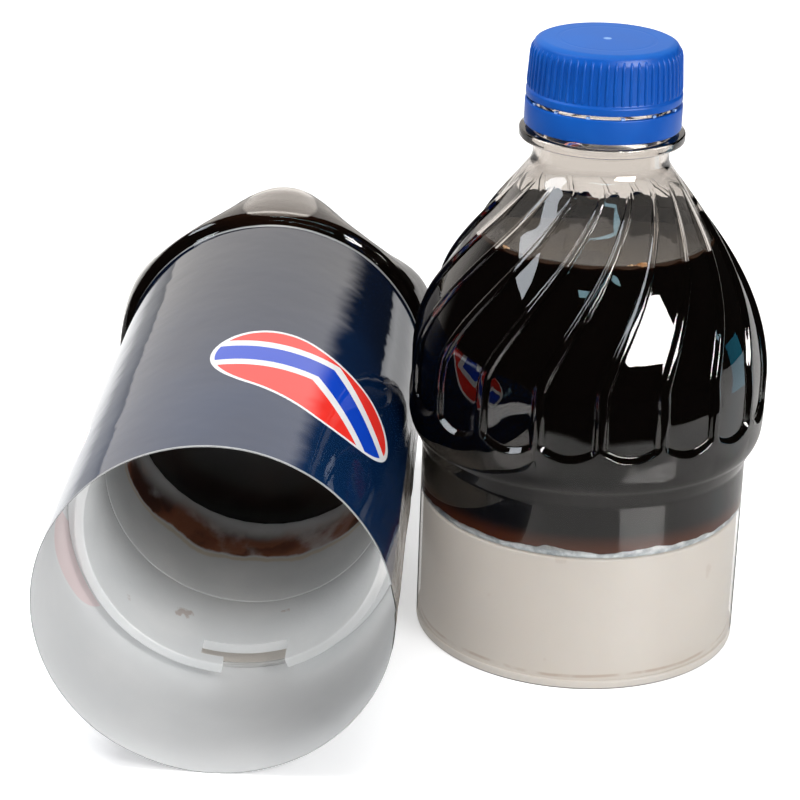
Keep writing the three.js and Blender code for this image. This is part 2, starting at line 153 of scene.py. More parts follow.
lens = bpy.data.cameras.new("camera")
lens.sensor_width = 36
focal_pixels, picture_pixels = 2660.35, 800
lens.lens = focal_pixels * 36 / picture_pixels
camera = bpy.data.objects.new("camera", lens)
scene.collection.objects.link(camera)
camera.matrix_world = camera_matrix(
    Vector((0.01577, -0.51281, 0.25459)),
    math.radians(-2.264), math.radians(22.084), math.radians(1.831),
)
scene.camera = camera
print("lens", round(lens.lens, 1), "mm")

# %% [markdown]
# ## Writing node trees as expressions
#
# Materials and geometry rules are node trees. Wiring them by hand hides their
# meaning, so one small class wraps a socket and lets Python arithmetic add the Math
# nodes. `1 - mask` works as it reads, and `node` adds any other node.

# %% A socket that takes part in arithmetic
class Wire:
    def __init__(self, tree, socket=None):
        self.tree = tree
        self.socket = socket

    def node(self, kind, settings=None, inputs=None, out=0):
        made = self.tree.nodes.new(kind)
        for key, value in (settings or {}).items():
            if key == "stops":
                fill_ramp(made.color_ramp, value)
            else:
                setattr(made, key, value)
        for key, value in (inputs or {}).items():
            if isinstance(value, Wire):
                self.tree.links.new(value.socket, made.inputs[key])
            else:
                made.inputs[key].default_value = value
        return Wire(self.tree, made.outputs[out])

    def out(self, name):
        return Wire(self.tree, self.socket.node.outputs[name])

    def math(self, operation, *values):
        return self.node("ShaderNodeMath", {"operation": operation}, dict(enumerate(values)))

    def __add__(self, other):
        return self.math("ADD", self, other)

    def __sub__(self, other):
        return self.math("SUBTRACT", self, other)

    def __rsub__(self, other):
        return self.math("SUBTRACT", other, self)

    def __mul__(self, other):
        return self.math("MULTIPLY", self, other)

    def __truediv__(self, other):
        return self.math("DIVIDE", self, other)

    def __pow__(self, other):
        return self.math("POWER", self, other)

    __radd__ = __add__
    __rmul__ = __mul__

    def abs(self):
        return self.math("ABSOLUTE", self)

    def most(self, other):
        return self.math("MAXIMUM", self, other)

    def least(self, other):
        return self.math("MINIMUM", self, other)

    def clip(self):
        return self.most(0.0).least(1.0)

    def step(self, start, end):
        """0 below start and 1 above end, with a soft slope between them."""
        settings = {"interpolation_type": "SMOOTHSTEP"}
        sockets = {"Value": self, "From Min": start, "From Max": end}
        return self.node("ShaderNodeMapRange", settings, sockets)

    def mix(self, a, b):
        """Colour a where this wire is 0 and colour b where it is 1."""
        sockets = {0: self, 6: a, 7: b}
        return self.node("ShaderNodeMix", {"data_type": "RGBA"}, sockets, out=2)

    def blend(self, a, b):
        """Shader a where this wire is 0 and shader b where it is 1."""
        return self.node("ShaderNodeMixShader", None, {0: self, 1: a, 2: b})

    def axes(self):
        split = self.node("ShaderNodeSeparateXYZ", None, {0: self})
        return split, split.out(1), split.out(2)

    def from_axis(self):
        """Distance of these coordinates from the upright axis."""
        x, y, _ = self.axes()
        return (x * x + y * y) ** 0.5


def fill_ramp(ramp, stops):
    while len(ramp.elements) < len(stops):
        ramp.elements.new(1)
    for element, (position, colour) in zip(ramp.elements, stops):
        element.position = position
        element.color = colour


# %% [markdown]
# ## Turned pieces
#
# Nearly every piece of a bottle is a body of revolution. An outline of radius and
# height corners is turned about the axis, and it is a closed loop, so the wall has
# its true thickness and no open edge. A corner is rounded first where a moulded
# edge would be: light catches a small round edge and misses a sharp one.

# %% Rounding an outline and turning it
def rounded(outline, radius, steps=3):
    result = []
    for i, (r, z) in enumerate(outline):
        corner = Vector((r, z))
        back = Vector(outline[i - 1]) - corner
        on = Vector(outline[(i + 1) % len(outline)]) - corner
        reach = min(radius, 0.45 * back.length, 0.45 * on.length)
        if r < 1e-6:
            result.append((r, z))
            continue
        start = corner + back.normalized() * reach
        end = corner + on.normalized() * reach
        for s in range(steps + 1):
            t = s / steps
            p = start * (1 - t) ** 2 + corner * 2 * t * (1 - t) + end * t * t
            result.append((p.x, p.y))
    return result


def even_angles(columns):
    return [TURN * i / columns for i in range(columns)]


def polar(r, a, z):
    """A point in metres, from its radius and height in millimetres."""
    return r * math.cos(a) * mm, r * math.sin(a) * mm, z * mm


def mesh_of(name, points, faces):
    mesh = bpy.data.meshes.new(name)
    mesh.from_pydata(points, [], faces)
    return mesh


def turned_mesh(name, outline, angles):
    """A mesh of rings, one for each corner of the closed outline, in metres."""
    pairs = list(zip(outline, outline[1:] + outline[:1]))
    if sum(a[0] * b[1] - b[0] * a[1] for a, b in pairs) < 0:
        outline = outline[::-1]
    points, rings = [], []
    for r, z in outline:
        count = len(angles) if r > 1e-6 else 1
        rings.append([len(points) + i for i in range(count)])
        points += [polar(r, a, z) for a in angles[:count]]
    faces = []
    for ring, above in zip(rings, rings[1:] + rings[:1]):
        for i in range(len(angles)):
            j = (i + 1) % len(angles)
            corners = [ring[i % len(ring)], ring[j % len(ring)]]
            corners += [above[j % len(above)], above[i % len(above)]]
            face = list(dict.fromkeys(corners))
            if len(face) > 2:
                faces.append(face)
    return mesh_of(name, points, faces)


def piece_of(mesh, *finishes):
    piece = bpy.data.objects.new(mesh.name, mesh)
    scene.collection.objects.link(piece)
    for each in finishes:
        mesh.materials.append(each)
    return piece


def smooth(mesh, sharp=35):
    mesh.shade_smooth()
    mesh.set_sharp_from_angle(angle=math.radians(sharp))


def turned(name, outline, finish, columns=128, sharp=35):
    mesh = turned_mesh(name, outline, even_angles(columns))
    smooth(mesh, sharp)
    return piece_of(mesh, finish)


def seat(piece, place, body, slot, *nodes):
    """Moves the mesh into place, and says what the piece rides on and stands for."""
    piece.data.transform(place)
    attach(piece, body)
    if nodes:
        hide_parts(*nodes)
    print(f"{piece.name}: {len(piece.data.polygons)} faces on {body}")
    return piece


# %% [markdown]
# ## Rules in Geometry Nodes
#
# What repeats or follows a rule is made by a Geometry Nodes tree with named inputs.
# `rule` starts a tree, `close_rule` ends it with Realize Instances and Set Material,
# and `run_rule` sets the inputs and keeps the result as a plain mesh.

# %% Starting, closing and running a rule
def rule(name, **sizes):
    tree = bpy.data.node_groups.new(name, "GeometryNodeTree")
    face = tree.interface
    face.new_socket("Geometry", in_out="INPUT", socket_type="NodeSocketGeometry")
    for label, value in sizes.items():
        kind = "NodeSocketInt" if isinstance(value, int) else "NodeSocketFloat"
        face.new_socket(label, in_out="INPUT", socket_type=kind)
    face.new_socket("Geometry", in_out="OUTPUT", socket_type="NodeSocketGeometry")
    start = tree.nodes.new("NodeGroupInput")
    wires = {label: Wire(tree, start.outputs[label]) for label in sizes}
    return tree, Wire(tree, start.outputs["Geometry"]), wires


def close_rule(geometry, finish, **chosen):
    """chosen maps a finish's name to the wire that selects its faces."""
    result = geometry.node("GeometryNodeRealizeInstances", None, {0: geometry})
    sockets = {"Geometry": result, "Material": finish}
    result = geometry.node("GeometryNodeSetMaterial", None, sockets)
    for name, where in chosen.items():
        sockets = {"Geometry": result, "Material": bpy.data.materials[name], "Selection": where}
        result = geometry.node("GeometryNodeSetMaterial", None, sockets)
    end = geometry.tree.nodes.new("NodeGroupOutput")
    geometry.tree.links.new(result.socket, end.inputs[0])


def stored(geometry, kind, name):
    """A value that the mesh keeps under a name."""
    kinds = {"data_type": kind}
    return geometry.node("GeometryNodeInputNamedAttribute", kinds, {"Name": name})


def moved(geometry, radius, angle, height):
    """Every vertex set at a new radius, angle and height."""
    place = geometry.node("ShaderNodeCombineXYZ", None, {
        0: radius * angle.math("COSINE", angle),
        1: radius * angle.math("SINE", angle),
        2: height,
    })
    sockets = {"Geometry": geometry, "Position": place}
    return geometry.node("GeometryNodeSetPosition", None, sockets)


def lifted(geometry, height):
    offset = geometry.node("ShaderNodeCombineXYZ", None, {2: height})
    sockets = {"Geometry": geometry, "Offset": offset}
    return geometry.node("GeometryNodeSetPosition", None, sockets)


def keep_result(piece, modifier):
    """What the modifier makes becomes the piece's own mesh, and the modifier goes."""
    graph = bpy.context.evaluated_depsgraph_get()
    mesh = bpy.data.meshes.new_from_object(piece.evaluated_get(graph))
    piece.modifiers.remove(modifier)
    mesh.name = piece.data.name
    piece.data = mesh
    return piece


def run_rule(piece, tree, **values):
    modifier = piece.modifiers.new(tree.name, "NODES")
    modifier.node_group = tree
    for item in tree.interface.items_tree:
        if item.in_out == "INPUT" and item.name in values:
            modifier[item.identifier] = values[item.name]
    piece.update_tag()
    return keep_result(piece, modifier)


# %% [markdown]
# ## Floor, world and lights
#
# The bottle is photographed on white. Black drink behind clear plastic shows little
# but reflections, so what surrounds it matters more than its colour: a white floor
# and a white background behind, a dim room in front, one square softbox at the
# right and a bluish window high at the left. The world tells rays apart, because the
# room that lights the bottle is dimmer than the white that shows behind it. For the
# same reason some lamps only light, and others are only seen as reflections.

# %% Floor
def finish(name, build):
    """A material whose shader is made by the function build."""
    material = bpy.data.materials.new(name)
    material.use_nodes = True
    tree = material.node_tree
    tree.nodes.clear()
    shader = build(Wire(tree))
    output = tree.nodes.new("ShaderNodeOutputMaterial")
    tree.links.new(shader.socket, output.inputs["Surface"])
    return material


def bsdf(wire, kind, colour, **sockets):
    """One plain shader: Diffuse, Glossy, Glass or Transparent."""
    return wire.node("ShaderNodeBsdf" + kind, None, {"Color": colour, **sockets})


def white_floor(wire):
    path = wire.node("ShaderNodeLightPath", out="Is Camera Ray")
    mirrored = path.out("Is Glossy Ray") * (1 - path.out("Is Transmission Ray"))
    x, y, _ = wire.node("ShaderNodeTexCoord", out="Object").axes()
    in_front = x.step(-0.06, 0.0) * (1 - x.step(0.08, 0.27))
    seen = path.most(path.out("Is Transmission Ray")).most(mirrored * 0.35)
    aside, away = x - 0.024, y - 0.034
    reach = (aside * aside + away * away) ** 0.5
    beyond = reach.step(0.197, 0.204) * (1 - y.step(-0.02, 0.02))
    at_left = 1 - x.step(-0.20, -0.11)
    # Seen in reflections, the floor is painted near black outside a round pool about the bottle,
    # and darker in front and at the left: a painted pool of light, with painted shade where the
    # light falls off across the table.
    lit_pool_in_reflections = 1 - mirrored * beyond.most(in_front * 0.42).most(at_left * 0.5)
    lit = bsdf(wire, "Diffuse", (0.86, 0.86, 0.86, 1))
    glow = wire.node("ShaderNodeEmission", None, {"Strength": seen * 0.50})
    shine = bsdf(wire, "Glossy", mirrored * 0.16, Roughness=0.06)
    for more in (glow, shine):
        lit = wire.node("ShaderNodeAddShader", None, {0: lit, 1: more})
    return lit_pool_in_reflections.blend(bsdf(wire, "Diffuse", (0.01, 0.01, 0.01, 1)), lit)


corners = [(-1, -1, 0), (1, -1, 0), (1, 1.4, 0), (-1, 1.4, 0)]
floor = piece_of(mesh_of("floor", corners, [(0, 1, 2, 3)]), finish("white floor", white_floor))
floor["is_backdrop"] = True

# %% World
def room(wire):
    path = wire.node("ShaderNodeLightPath", out="Is Camera Ray")
    through = path.out("Is Transmission Ray")
    mirrored = path.out("Is Glossy Ray") * (1 - through)
    heading = wire.node("ShaderNodeTexCoord", out="Generated").axes()
    edge = 1 - (heading[0] - heading[1] * 0.30).step(-0.03, 0.05)
    behind = heading[1].step(0.45, 0.75) * edge * (1 - heading[2].step(0.62, 0.99))
    lit = 1 - path.most(through).most(mirrored)
    level = path + through + mirrored * (0.012 + behind * 0.988) + lit * 0.40
    warm = mirrored.mix((1, 1, 1, 1), (1, 0.965, 0.93, 1))
    return wire.node("ShaderNodeBackground", None, {"Color": warm, "Strength": level.least(1.0)})


world = bpy.data.worlds.new("studio")
world.use_nodes = True
world.node_tree.nodes.clear()
backdrop = room(Wire(world.node_tree))
output = world.node_tree.nodes.new("ShaderNodeOutputWorld")
world.node_tree.links.new(backdrop.socket, output.inputs["Surface"])
scene.world = world
scene.view_settings.view_transform = "Standard"

# %% Lights
def softbox(name, around, up, away, width, height, watts, colour=(1, 1, 1)):
    """A rectangular lamp that looks at the bottle from an angle round it and above."""
    lamp = bpy.data.lights.new(name, "AREA")
    lamp.shape = "RECTANGLE"
    lamp.size, lamp.size_y = width, height
    lamp.energy, lamp.color = watts, colour
    box = bpy.data.objects.new(name, lamp)
    scene.collection.objects.link(box)
    a, e = math.radians(around), math.radians(up)
    aim = Vector((0.02, 0, 0.06))
    back = Vector((math.sin(a) * math.cos(e), -math.cos(a) * math.cos(e), math.sin(e)))
    box.location = aim + back * away
    box.rotation_mode = "QUATERNION"
    box.rotation_quaternion = (-back).to_track_quat("-Z", "Y")
    box.visible_camera = False
    box.visible_transmission = False
    return box


for fill in (
    softbox("key", 40, 30, 0.9, 0.42, 0.34, 4.25),
    softbox("top", 10, 84, 1.1, 0.7, 0.5, 3.6),
    softbox("side fill", -84, 62, 0.95, 0.4, 0.4, 5.5, (0.97, 0.98, 1)),
):
    fill.visible_glossy = False
for shine in (
    softbox("key reflected", 44, 27, 0.9, 0.50, 0.34, 14.5),
    softbox("window reflected", -87, 43, 0.95, 0.62, 0.20, 3.0, (0.84, 0.91, 1)),
    softbox("far window reflected", 6, 49, 1.2, 0.66, 0.03, 0.36, (0.50, 0.84, 1)),
    softbox("blue card reflected", 104, -6, 0.26, 0.05, 0.10, 0.022, (0.05, 0.40, 0.62)),
):
    shine.visible_diffuse = False

# %% [markdown]
# ## Finishes
#
# Each finish is a function that returns a shader. Patterns use Object coordinates,
# moved onto each half's own axis by a Mapping node, so they stay on the piece when
# it moves.

# %% Coordinates of each half, and the common shader
def whole_coords(wire):
    return wire.node("ShaderNodeTexCoord", out="Object")


def coords_about(wire, **place):
    sockets = {"Vector": whole_coords(wire), **place}
    return wire.node("ShaderNodeMapping", {"vector_type": "TEXTURE"}, sockets)


def upper_coords(wire):
    return coords_about(wire, Location=upper_axis)


def lower_coords(wire):
    return coords_about(wire, Location=lower_origin, Rotation=(lower_turn, 0, 0))


def plastic(wire, **sockets):
    named = {key.replace("_", " "): value for key, value in sockets.items()}
    return wire.node("ShaderNodeBsdfPrincipled", None, named)


def cloud(wire, coords, scale, detail=3.0, stretch=None):
    if stretch:
        sockets = {"Vector": coords, "Scale": stretch}
        coords = wire.node("ShaderNodeMapping", None, sockets)
    sockets = {"Vector": coords, "Scale": scale, "Detail": detail}
    return wire.node("ShaderNodeTexNoise", None, sockets)


def relief(wire, height, strength, distance):
    sockets = {"Height": height, "Strength": strength, "Distance": distance}
    return wire.node("ShaderNodeBump", None, sockets)


def mottled(name, coords_of, spots, dark, light, rough, uneven=0.0, bumps=None, **more):
    """A plain finish: one cloud, scale, detail and two limits, leads colour and roughness."""
    def build(wire):
        scale, detail, start, end = spots
        tone = cloud(wire, coords_of(wire), scale, detail)
        if uneven:
            more["Roughness"] = rough + tone * uneven
        if bumps:
            more["Normal"] = relief(wire, tone, *bumps)
        colour = tone.step(start, end).mix(dark, light)
        return plastic(wire, **{"Roughness": rough, "Base_Color": colour, **more})

    return finish(name, build)


def redress(node, material):
    """Gives one of the frame's own solids its finish."""
    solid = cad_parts[node]
    solid.data.materials.clear()
    solid.data.materials.append(material)
    print(node, "has", material.name)


# %% [markdown]
# ### Clear bottle plastic
#
# Blown PET is glass-like, with an index near 1.57, a faint warm tint and a surface
# that is smooth but never quite even. It is real glass to the camera. Shadow and
# diffuse rays pass straight through, because a path tracer finds lamps through
# curved glass only by luck, and what is inside would look black.

# %% Clear plastic
def clear_body(wire, coords, tint=(0.972, 0.952, 0.928, 1)):
    waves = cloud(wire, coords, 55, 2.0)
    normal = relief(wire, waves, 0.12, 0.0006)
    return bsdf(wire, "Glass", tint, Roughness=0.012, IOR=1.57, Normal=normal)


def let_light_in(wire, shader, tint=(0.95, 0.93, 0.91, 1)):
    path = wire.node("ShaderNodeLightPath", out="Is Shadow Ray")
    light = path.most(path.out("Is Diffuse Ray"))
    return light.blend(shader, bsdf(wire, "Transparent", tint))


def clear_upper_wall(wire, coords):
    return let_light_in(wire, clear_body(wire, coords, (0.935, 0.912, 0.888, 1)))


def bonded_wall(wire):
    """Tight on the insert, with no air: it tints, has a soft sheen, and is painted dark edge-on.
    """
    through = bsdf(wire, "Transparent", (0.955, 0.945, 0.93, 1))
    sheen = bsdf(wire, "Glossy", (1, 1, 1, 1), Roughness=0.24)
    edge = bsdf(wire, "Diffuse", (0.03, 0.028, 0.026, 1))
    facing = wire.node("ShaderNodeLayerWeight", None, {"Blend": 0.5}, out="Facing")
    seen = wire.node("ShaderNodeLightPath", out="Is Camera Ray")
    wall_shader = (seen * (facing ** 4 * 0.5 + 0.045)).blend(through, sheen)
    # Where the camera sees the wall edge-on it turns near black: painted shade along its outline.
    return (facing.step(0.86, 0.94) * 0.8 * seen).blend(wall_shader, edge)


def upper_clear(wire):
    coords = upper_coords(wire)
    free = coords.axes()[2].step(0.0296, 0.0304)
    return free.blend(bonded_wall(wire), clear_upper_wall(wire, coords))


def pale_cut(wire, coords, shader):
    """A cut edge of clear plastic scatters light and looks whitish."""
    cut = coords.axes()[2].step(-0.0026, -0.0020)
    return cut.blend(shader, bsdf(wire, "Diffuse", (0.66, 0.66, 0.65, 1)))


def lower_clear(wire):
    coords = lower_coords(wire)
    return pale_cut(wire, coords, let_light_in(wire, clear_body(wire, coords)))


clear_upper = finish("clear bottle plastic, upper", upper_clear)
clear_lower = finish("clear bottle plastic, lower", lower_clear)

# %% [markdown]
# ### Drink against the wall
#
# Where drink wets the plastic there is no air between them, so the wall's inner face
# takes the drink's colour: nearly black, and red-brown where the layer is thin. Its
# lower edge follows the adhesive, and above the level a ragged dried film clings to
# the far side.

# %% Wetted inner face of the upper half
def wetted_upper(wire):
    coords = upper_coords(wire)
    x, y, z = coords.axes()
    ragged = cloud(wire, coords, 260, 4.0)
    wavy = cloud(wire, coords, 90, 2.0)
    thin = 1 - z.step(0.0305, 0.0345)
    near_top = z.step(0.0858, 0.0864) * (1 - z.step(0.0864, 0.0866)) * wavy.step(0.35, 0.7)
    above = z - 0.0912
    dab = 1 - ((x * x + above * above) ** 0.5).step(0.0008, 0.0022)
    brown = (thin * 0.75).most(near_top * 0.16).most(dab * ragged.step(0.3, 0.6) * 2.5)
    colour = brown.least(1.0).mix((0.0015, 0.001, 0.0008, 1), (0.085, 0.022, 0.007, 1))
    drink = plastic(wire, Base_Color=colour, Roughness=0.5, Specular_IOR_Level=0.0)
    foot = (z + (wavy - 0.5) * 0.0032 + (ragged - 0.5) * 0.0014).step(0.0304, 0.0306)
    below_level = 1 - z.step(0.08635, 0.0865)
    edge = z + (ragged - 0.5) * 0.010 - (wavy - 0.5) * 0.004
    dried = (1 - edge.step(0.0914, 0.0918)) * (y + ragged * 0.01).step(-0.001, 0.003)
    haze = y.step(0.0, 0.004) * (1 - z.step(0.096, 0.100)) * 0.14
    cover = foot * below_level.most(dried).most(haze)
    bonded = bsdf(wire, "Transparent", (1, 1, 1, 1))
    clear = (1 - z.step(0.0300, 0.0312)).blend(clear_upper_wall(wire, coords), bonded)
    return cover.blend(clear, drink)


wet_upper = finish("drink behind the wall, upper", wetted_upper)

# %% Drink itself
def dark_drink(wire):
    coords = upper_coords(wire)
    tone = cloud(wire, coords, 60, 2.0)
    colour = tone.step(0.35, 0.7).mix((0.055, 0.053, 0.051, 1), (0.068, 0.060, 0.050, 1))
    # Painted shade: the top of the drink is painted near black on its far side.
    far = (coords.axes()[1] + (tone - 0.5) * 0.003).step(0.0060, 0.0072)
    colour = far.mix(colour, (0.004, 0.0045, 0.006, 1))
    rim = coords.from_axis().step(0.0227, 0.0235)
    colour = rim.mix(colour, (0.03, 0.016, 0.009, 1))
    return plastic(wire, Base_Color=colour, Roughness=0.03, IOR=1.34, Specular_IOR_Level=0.22)


drink_finish = finish("dark drink", dark_drink)

# %% [markdown]
# ## Upper half: the blown bottle top
#
# Its outline runs up the outside, over the mouth and down the inside. The shoulder
# has 18 flutes that start at a small ledge, stand upright on the bulge and swirl
# round as they climb. That is a rule, so Geometry Nodes press them into the turned
# shape: one node expression moves every vertex inward by the flute's depth and turns
# it with the swirl. The columns of the mesh are closer together at the ridges, and
# they turn with the swirl, so each ridge stays crisp.

# %% Outline of the bottle top
def upper_radius(z):
    if z <= waist_height:
        return waist_radius
    if z <= crease:
        t = (z - waist_height) / (crease - waist_height)
        return waist_radius + (step_radius - waist_radius) * t
    if z <= bulge_start:
        t = (z - crease) / (bulge_start - crease)
        return step_radius + (bulge_radius - step_radius) * math.sin(t * math.pi / 2) ** 0.7
    if z <= shoulder_start:
        return bulge_radius
    t = min((z - shoulder_start) / (shoulder_end - shoulder_start), 1)
    swell = (bulge_radius - neck_radius) * math.cos(t * math.pi / 2) ** 1.05
    swell -= 0.87 * max(z - shoulder_end, 0)
    return neck_radius + 0.5 * (swell + math.sqrt(swell * swell + 0.36))


def heights(start, end, spacing):
    count = max(1, round(abs(end - start) / spacing))
    return [start + (end - start) * i / count for i in range(count)]


outer_heights = (
    heights(2.0, 39.4, 6) + heights(39.4, 49.8, 0.45)
    + [49.8, 50.2, 50.45, 50.58, 50.66, 50.8, 51.2, 51.52, 51.64, 51.72, 51.85, 52.1, 52.6]
    + heights(53.2, 98.5, 1.0) + heights(98.5, 105.5, 0.5)
)
inner_heights = (
    heights(106.6, 98.0, 0.8) + heights(98.0, 55.0, 1.6)
    + [55.0, 54.0, 53.2, 52.6, 52.1, 51.75, 51.6, 51.1, 50.7, 50.5]
    + heights(50.0, 39.4, 0.8) + heights(39.4, 2.0, 6) + [2.0]
)
outside = [(upper_radius(z), z) for z in outer_heights]
neck_outside = rounded([
    (neck_radius, 105.4), (collar_radius, 106.05), (collar_radius, collar_top),
    (12.87, collar_top + 0.35), (12.87, 111.1), (13.4, 111.7), (12.47, 112.6),
    (12.47, mouth), (bore, mouth), (bore, 107.5),
], 0.35)[1:-1]


def upper_inside(z):
    """The wall is thin in the blown body and thickens to the bore as it nears the neck."""
    t = max(0, min(1, (z - 96) / 11))
    share = t * t * (3 - 2 * t)
    return (upper_radius(z) - wall) * (1 - share) + bore * share


inside = [(upper_inside(z), z) for z in inner_heights]
outline = outside + neck_outside + inside
print(len(outline), "rings in the bottle top")

# %% Columns that crowd at the ridges
ridge_steps = [0, 0.5, 0.95, 1.25, 1.6, 1.95, 2.3, 2.65, 3.4, 5.0, 7.4]
one_flute = ridge_steps + [10] + [20 - s for s in ridge_steps[:0:-1]]
flute_angles = [
    flute_start + math.radians(20 * k + s) for k in range(flute_count) for s in one_flute
]
print(len(flute_angles), "columns in the bottle top")

# %% The rule that presses the flutes
flute_sizes = {
    "Flutes": flute_count, "Depth": flute_depth * mm, "Start": flute_start,
    "Twist": flute_twist, "Foot": flute_foot * mm, "Upright": flute_upright * mm,
    "Top": flute_top * mm,
}
tree, geometry, size = rule("press the flutes", **flute_sizes)
position = geometry.node("GeometryNodeInputPosition")
x, y, z = position.axes()
angle = x.math("ARCTAN2", y, x)
turn = (angle - size["Start"]) / TURN * size["Flutes"]
across = (turn.math("FRACT", turn) - 0.5) * 2
press = 1 - across.abs().step(0.755, 0.905)
press = press * 0.88 + (1 - across * across) * 0.12
gate = ((z - size["Foot"]) / 0.00106).clip()
bend = across * across * 0.0026 * z.step(0.0445, 0.0500) * (1 - z.step(0.0530, 0.0600))
fade = ((size["Top"] - z) / 0.0071).clip()
climb = ((z - size["Upright"]) / (size["Top"] - size["Upright"])).clip()
new_angle = angle + size["Twist"] * climb ** 1.35
new_radius = position.from_axis() - size["Depth"] * press * gate * fade
pressed = moved(geometry, new_radius, new_angle, z + bend)
close_rule(pressed, clear_upper, **{wet_upper.name: stored(geometry, "BOOLEAN", "wetted")})

# %% The bottle top
mesh = turned_mesh("bottle_top", outline, flute_angles)
wetted = mesh.attributes.new("wetted", "BOOLEAN", "FACE")
for face in mesh.polygons:
    reach, tall = face.center.xy.length / mm, face.center.z / mm
    is_inner = reach < upper_radius(tall) - 0.5 * wall
    wetted.data[face.index].value = 2.5 < tall < 98.6 and is_inner
bottle_top = run_rule(piece_of(mesh), tree, **flute_sizes)
smooth(bottle_top.data, 50)
seat(bottle_top, upper_place, "upper_half", "clear_pet", "upper_shell")

# %% [markdown]
# ### Thread on the neck
#
# The cap screws on a thread, which shows when it is undone. A spiral curve with a
# small round section swept along it is all a thread is.

# %% Neck thread
thread_sizes = {"Turns": 2.1, "Radius": 12.75 * mm, "Bottom": 114.6 * mm, "Height": 5.7 * mm}
tree, geometry, size = rule("wind the thread", **thread_sizes)
helix = geometry.node("GeometryNodeCurveSpiral", None, {
    "Resolution": 64, "Rotations": size["Turns"], "Start Radius": size["Radius"],
    "End Radius": size["Radius"], "Height": size["Height"],
})
sockets = {"Resolution": 10, "Radius": 0.7 * mm}
section = geometry.node("GeometryNodeCurvePrimitiveCircle", None, sockets)
swept = geometry.node("GeometryNodeCurveToMesh", None, {
    "Curve": lifted(helix, size["Bottom"]), "Profile Curve": section, "Fill Caps": True,
})
close_rule(swept, clear_upper)
neck_thread = run_rule(piece_of(bpy.data.meshes.new("neck_thread")), tree, **thread_sizes)
smooth(neck_thread.data, 60)
seat(neck_thread, upper_place, "upper_half", "clear_pet")

# %% [markdown]
# ## Insert, adhesive and drink of the upper half
#
# The insert is a moulded cup, turned upside down, whose lip closes the cut edge of
# the bottle. Its plastic is milky, so light goes a little way into it, and a painted
# glow stands in for the light that passes through it. Its lip is painted near black
# where it meets the floor, as a painted contact shadow. Two lugs inside its skirt are
# half of the bayonet. The adhesive round its rim was run by hand: it is a ring whose
# section swells and shrinks.

# %% Milky plastic, adhesive
def milky(wire):
    coords = upper_coords(wire)
    z = coords.axes()[2]
    stain = cloud(wire, coords, 38, 4.0)
    fine = cloud(wire, coords, 700, 3.0)
    specks = cloud(wire, coords, 130, 5.0)
    seam = 1 - (z - 0.0027 - (stain - 0.5) * 0.0016).abs().step(0.00015, 0.00045)
    dirt = (seam * specks.step(0.40, 0.55)).most(specks.step(0.69, 0.73) * 0.35)
    colour = stain.step(0.3, 0.75).mix((0.430, 0.399, 0.364, 1), (0.472, 0.446, 0.416, 1))
    colour = (dirt * 0.55).mix(colour, (0.22, 0.12, 0.06, 1))
    # Painted shadow: the lowest few tenths of a millimetre of the lip are near black, for the
    # contact shadow where the insert stands on the floor.
    colour = (1 - z.step(0.00022, 0.00042)).mix(colour, (0.03, 0.028, 0.026, 1))
    return plastic(
        wire, Base_Color=colour, Roughness=0.40 + stain * 0.14, Specular_IOR_Level=0.2,
        Subsurface_Weight=0.25, Subsurface_Radius=(0.004, 0.003, 0.002), Subsurface_Scale=1.0,
        # The emission is painted light: an even glow standing in for light that passes through the
        # milky plastic.
        Emission_Color=(0.180, 0.168, 0.154, 1), Emission_Strength=1.0,
        Normal=relief(wire, fine, 0.15, 0.0002),
    )


insert_finish = finish("milky moulded plastic", milky)
adhesive_finish = mottled(
    "adhesive", whole_coords, (420, 4.0, 0.35, 0.65),
    (0.30, 0.34, 0.37, 1), (0.68, 0.73, 0.76, 1), 0.3, 0.3, (0.4, 0.0004), IOR=1.48,
    Subsurface_Weight=0.3, Subsurface_Radius=(0.002, 0.002, 0.002), Subsurface_Scale=1.0,
)

# %% Insert with its lugs
insert_outline = rounded([
    (0, bulkhead), (32.7, bulkhead), (32.7, 1.8), (waist_radius, 1.8), (waist_radius, 0),
    (31.65, 0), (31.65, bulkhead - 1.6), (0, bulkhead - 1.6),
], 0.35)


def block(inner, outer, start, end, bottom, top, steps=10):
    """A piece of a ring, in millimetres and degrees: the shape of a lug or a slot."""
    points, faces = [], []
    for i in range(steps + 1):
        a = math.radians(start + (end - start) * i / steps)
        corners = ((inner, bottom), (outer, bottom), (outer, top), (inner, top))
        points += [polar(r, a, z) for r, z in corners]
    for i in range(steps):
        for k in range(4):
            a, b = 4 * i + k, 4 * i + (k + 1) % 4
            faces.append((a, b, b + 4, a + 4)[::-1])
    faces += [(0, 1, 2, 3), tuple(4 * steps + k for k in (3, 2, 1, 0))]
    return points, faces


def corners_and_sides(mesh):
    return [tuple(v.co) for v in mesh.vertices], [tuple(f.vertices) for f in mesh.polygons]


points, faces = corners_and_sides(turned_mesh("cup", insert_outline, even_angles(160)))
for turn in (0, 180):
    more, sides = block(29.65, 32.0, turn - 11, turn + 11, 0.2, 1.8)
    faces += [tuple(i + len(points) for i in side) for side in sides]
    points += more
mesh = mesh_of("cup_insert", points, faces)
smooth(mesh)
seat(piece_of(mesh, insert_finish), upper_place, "upper_half", "insert_plastic", "upper_insert")

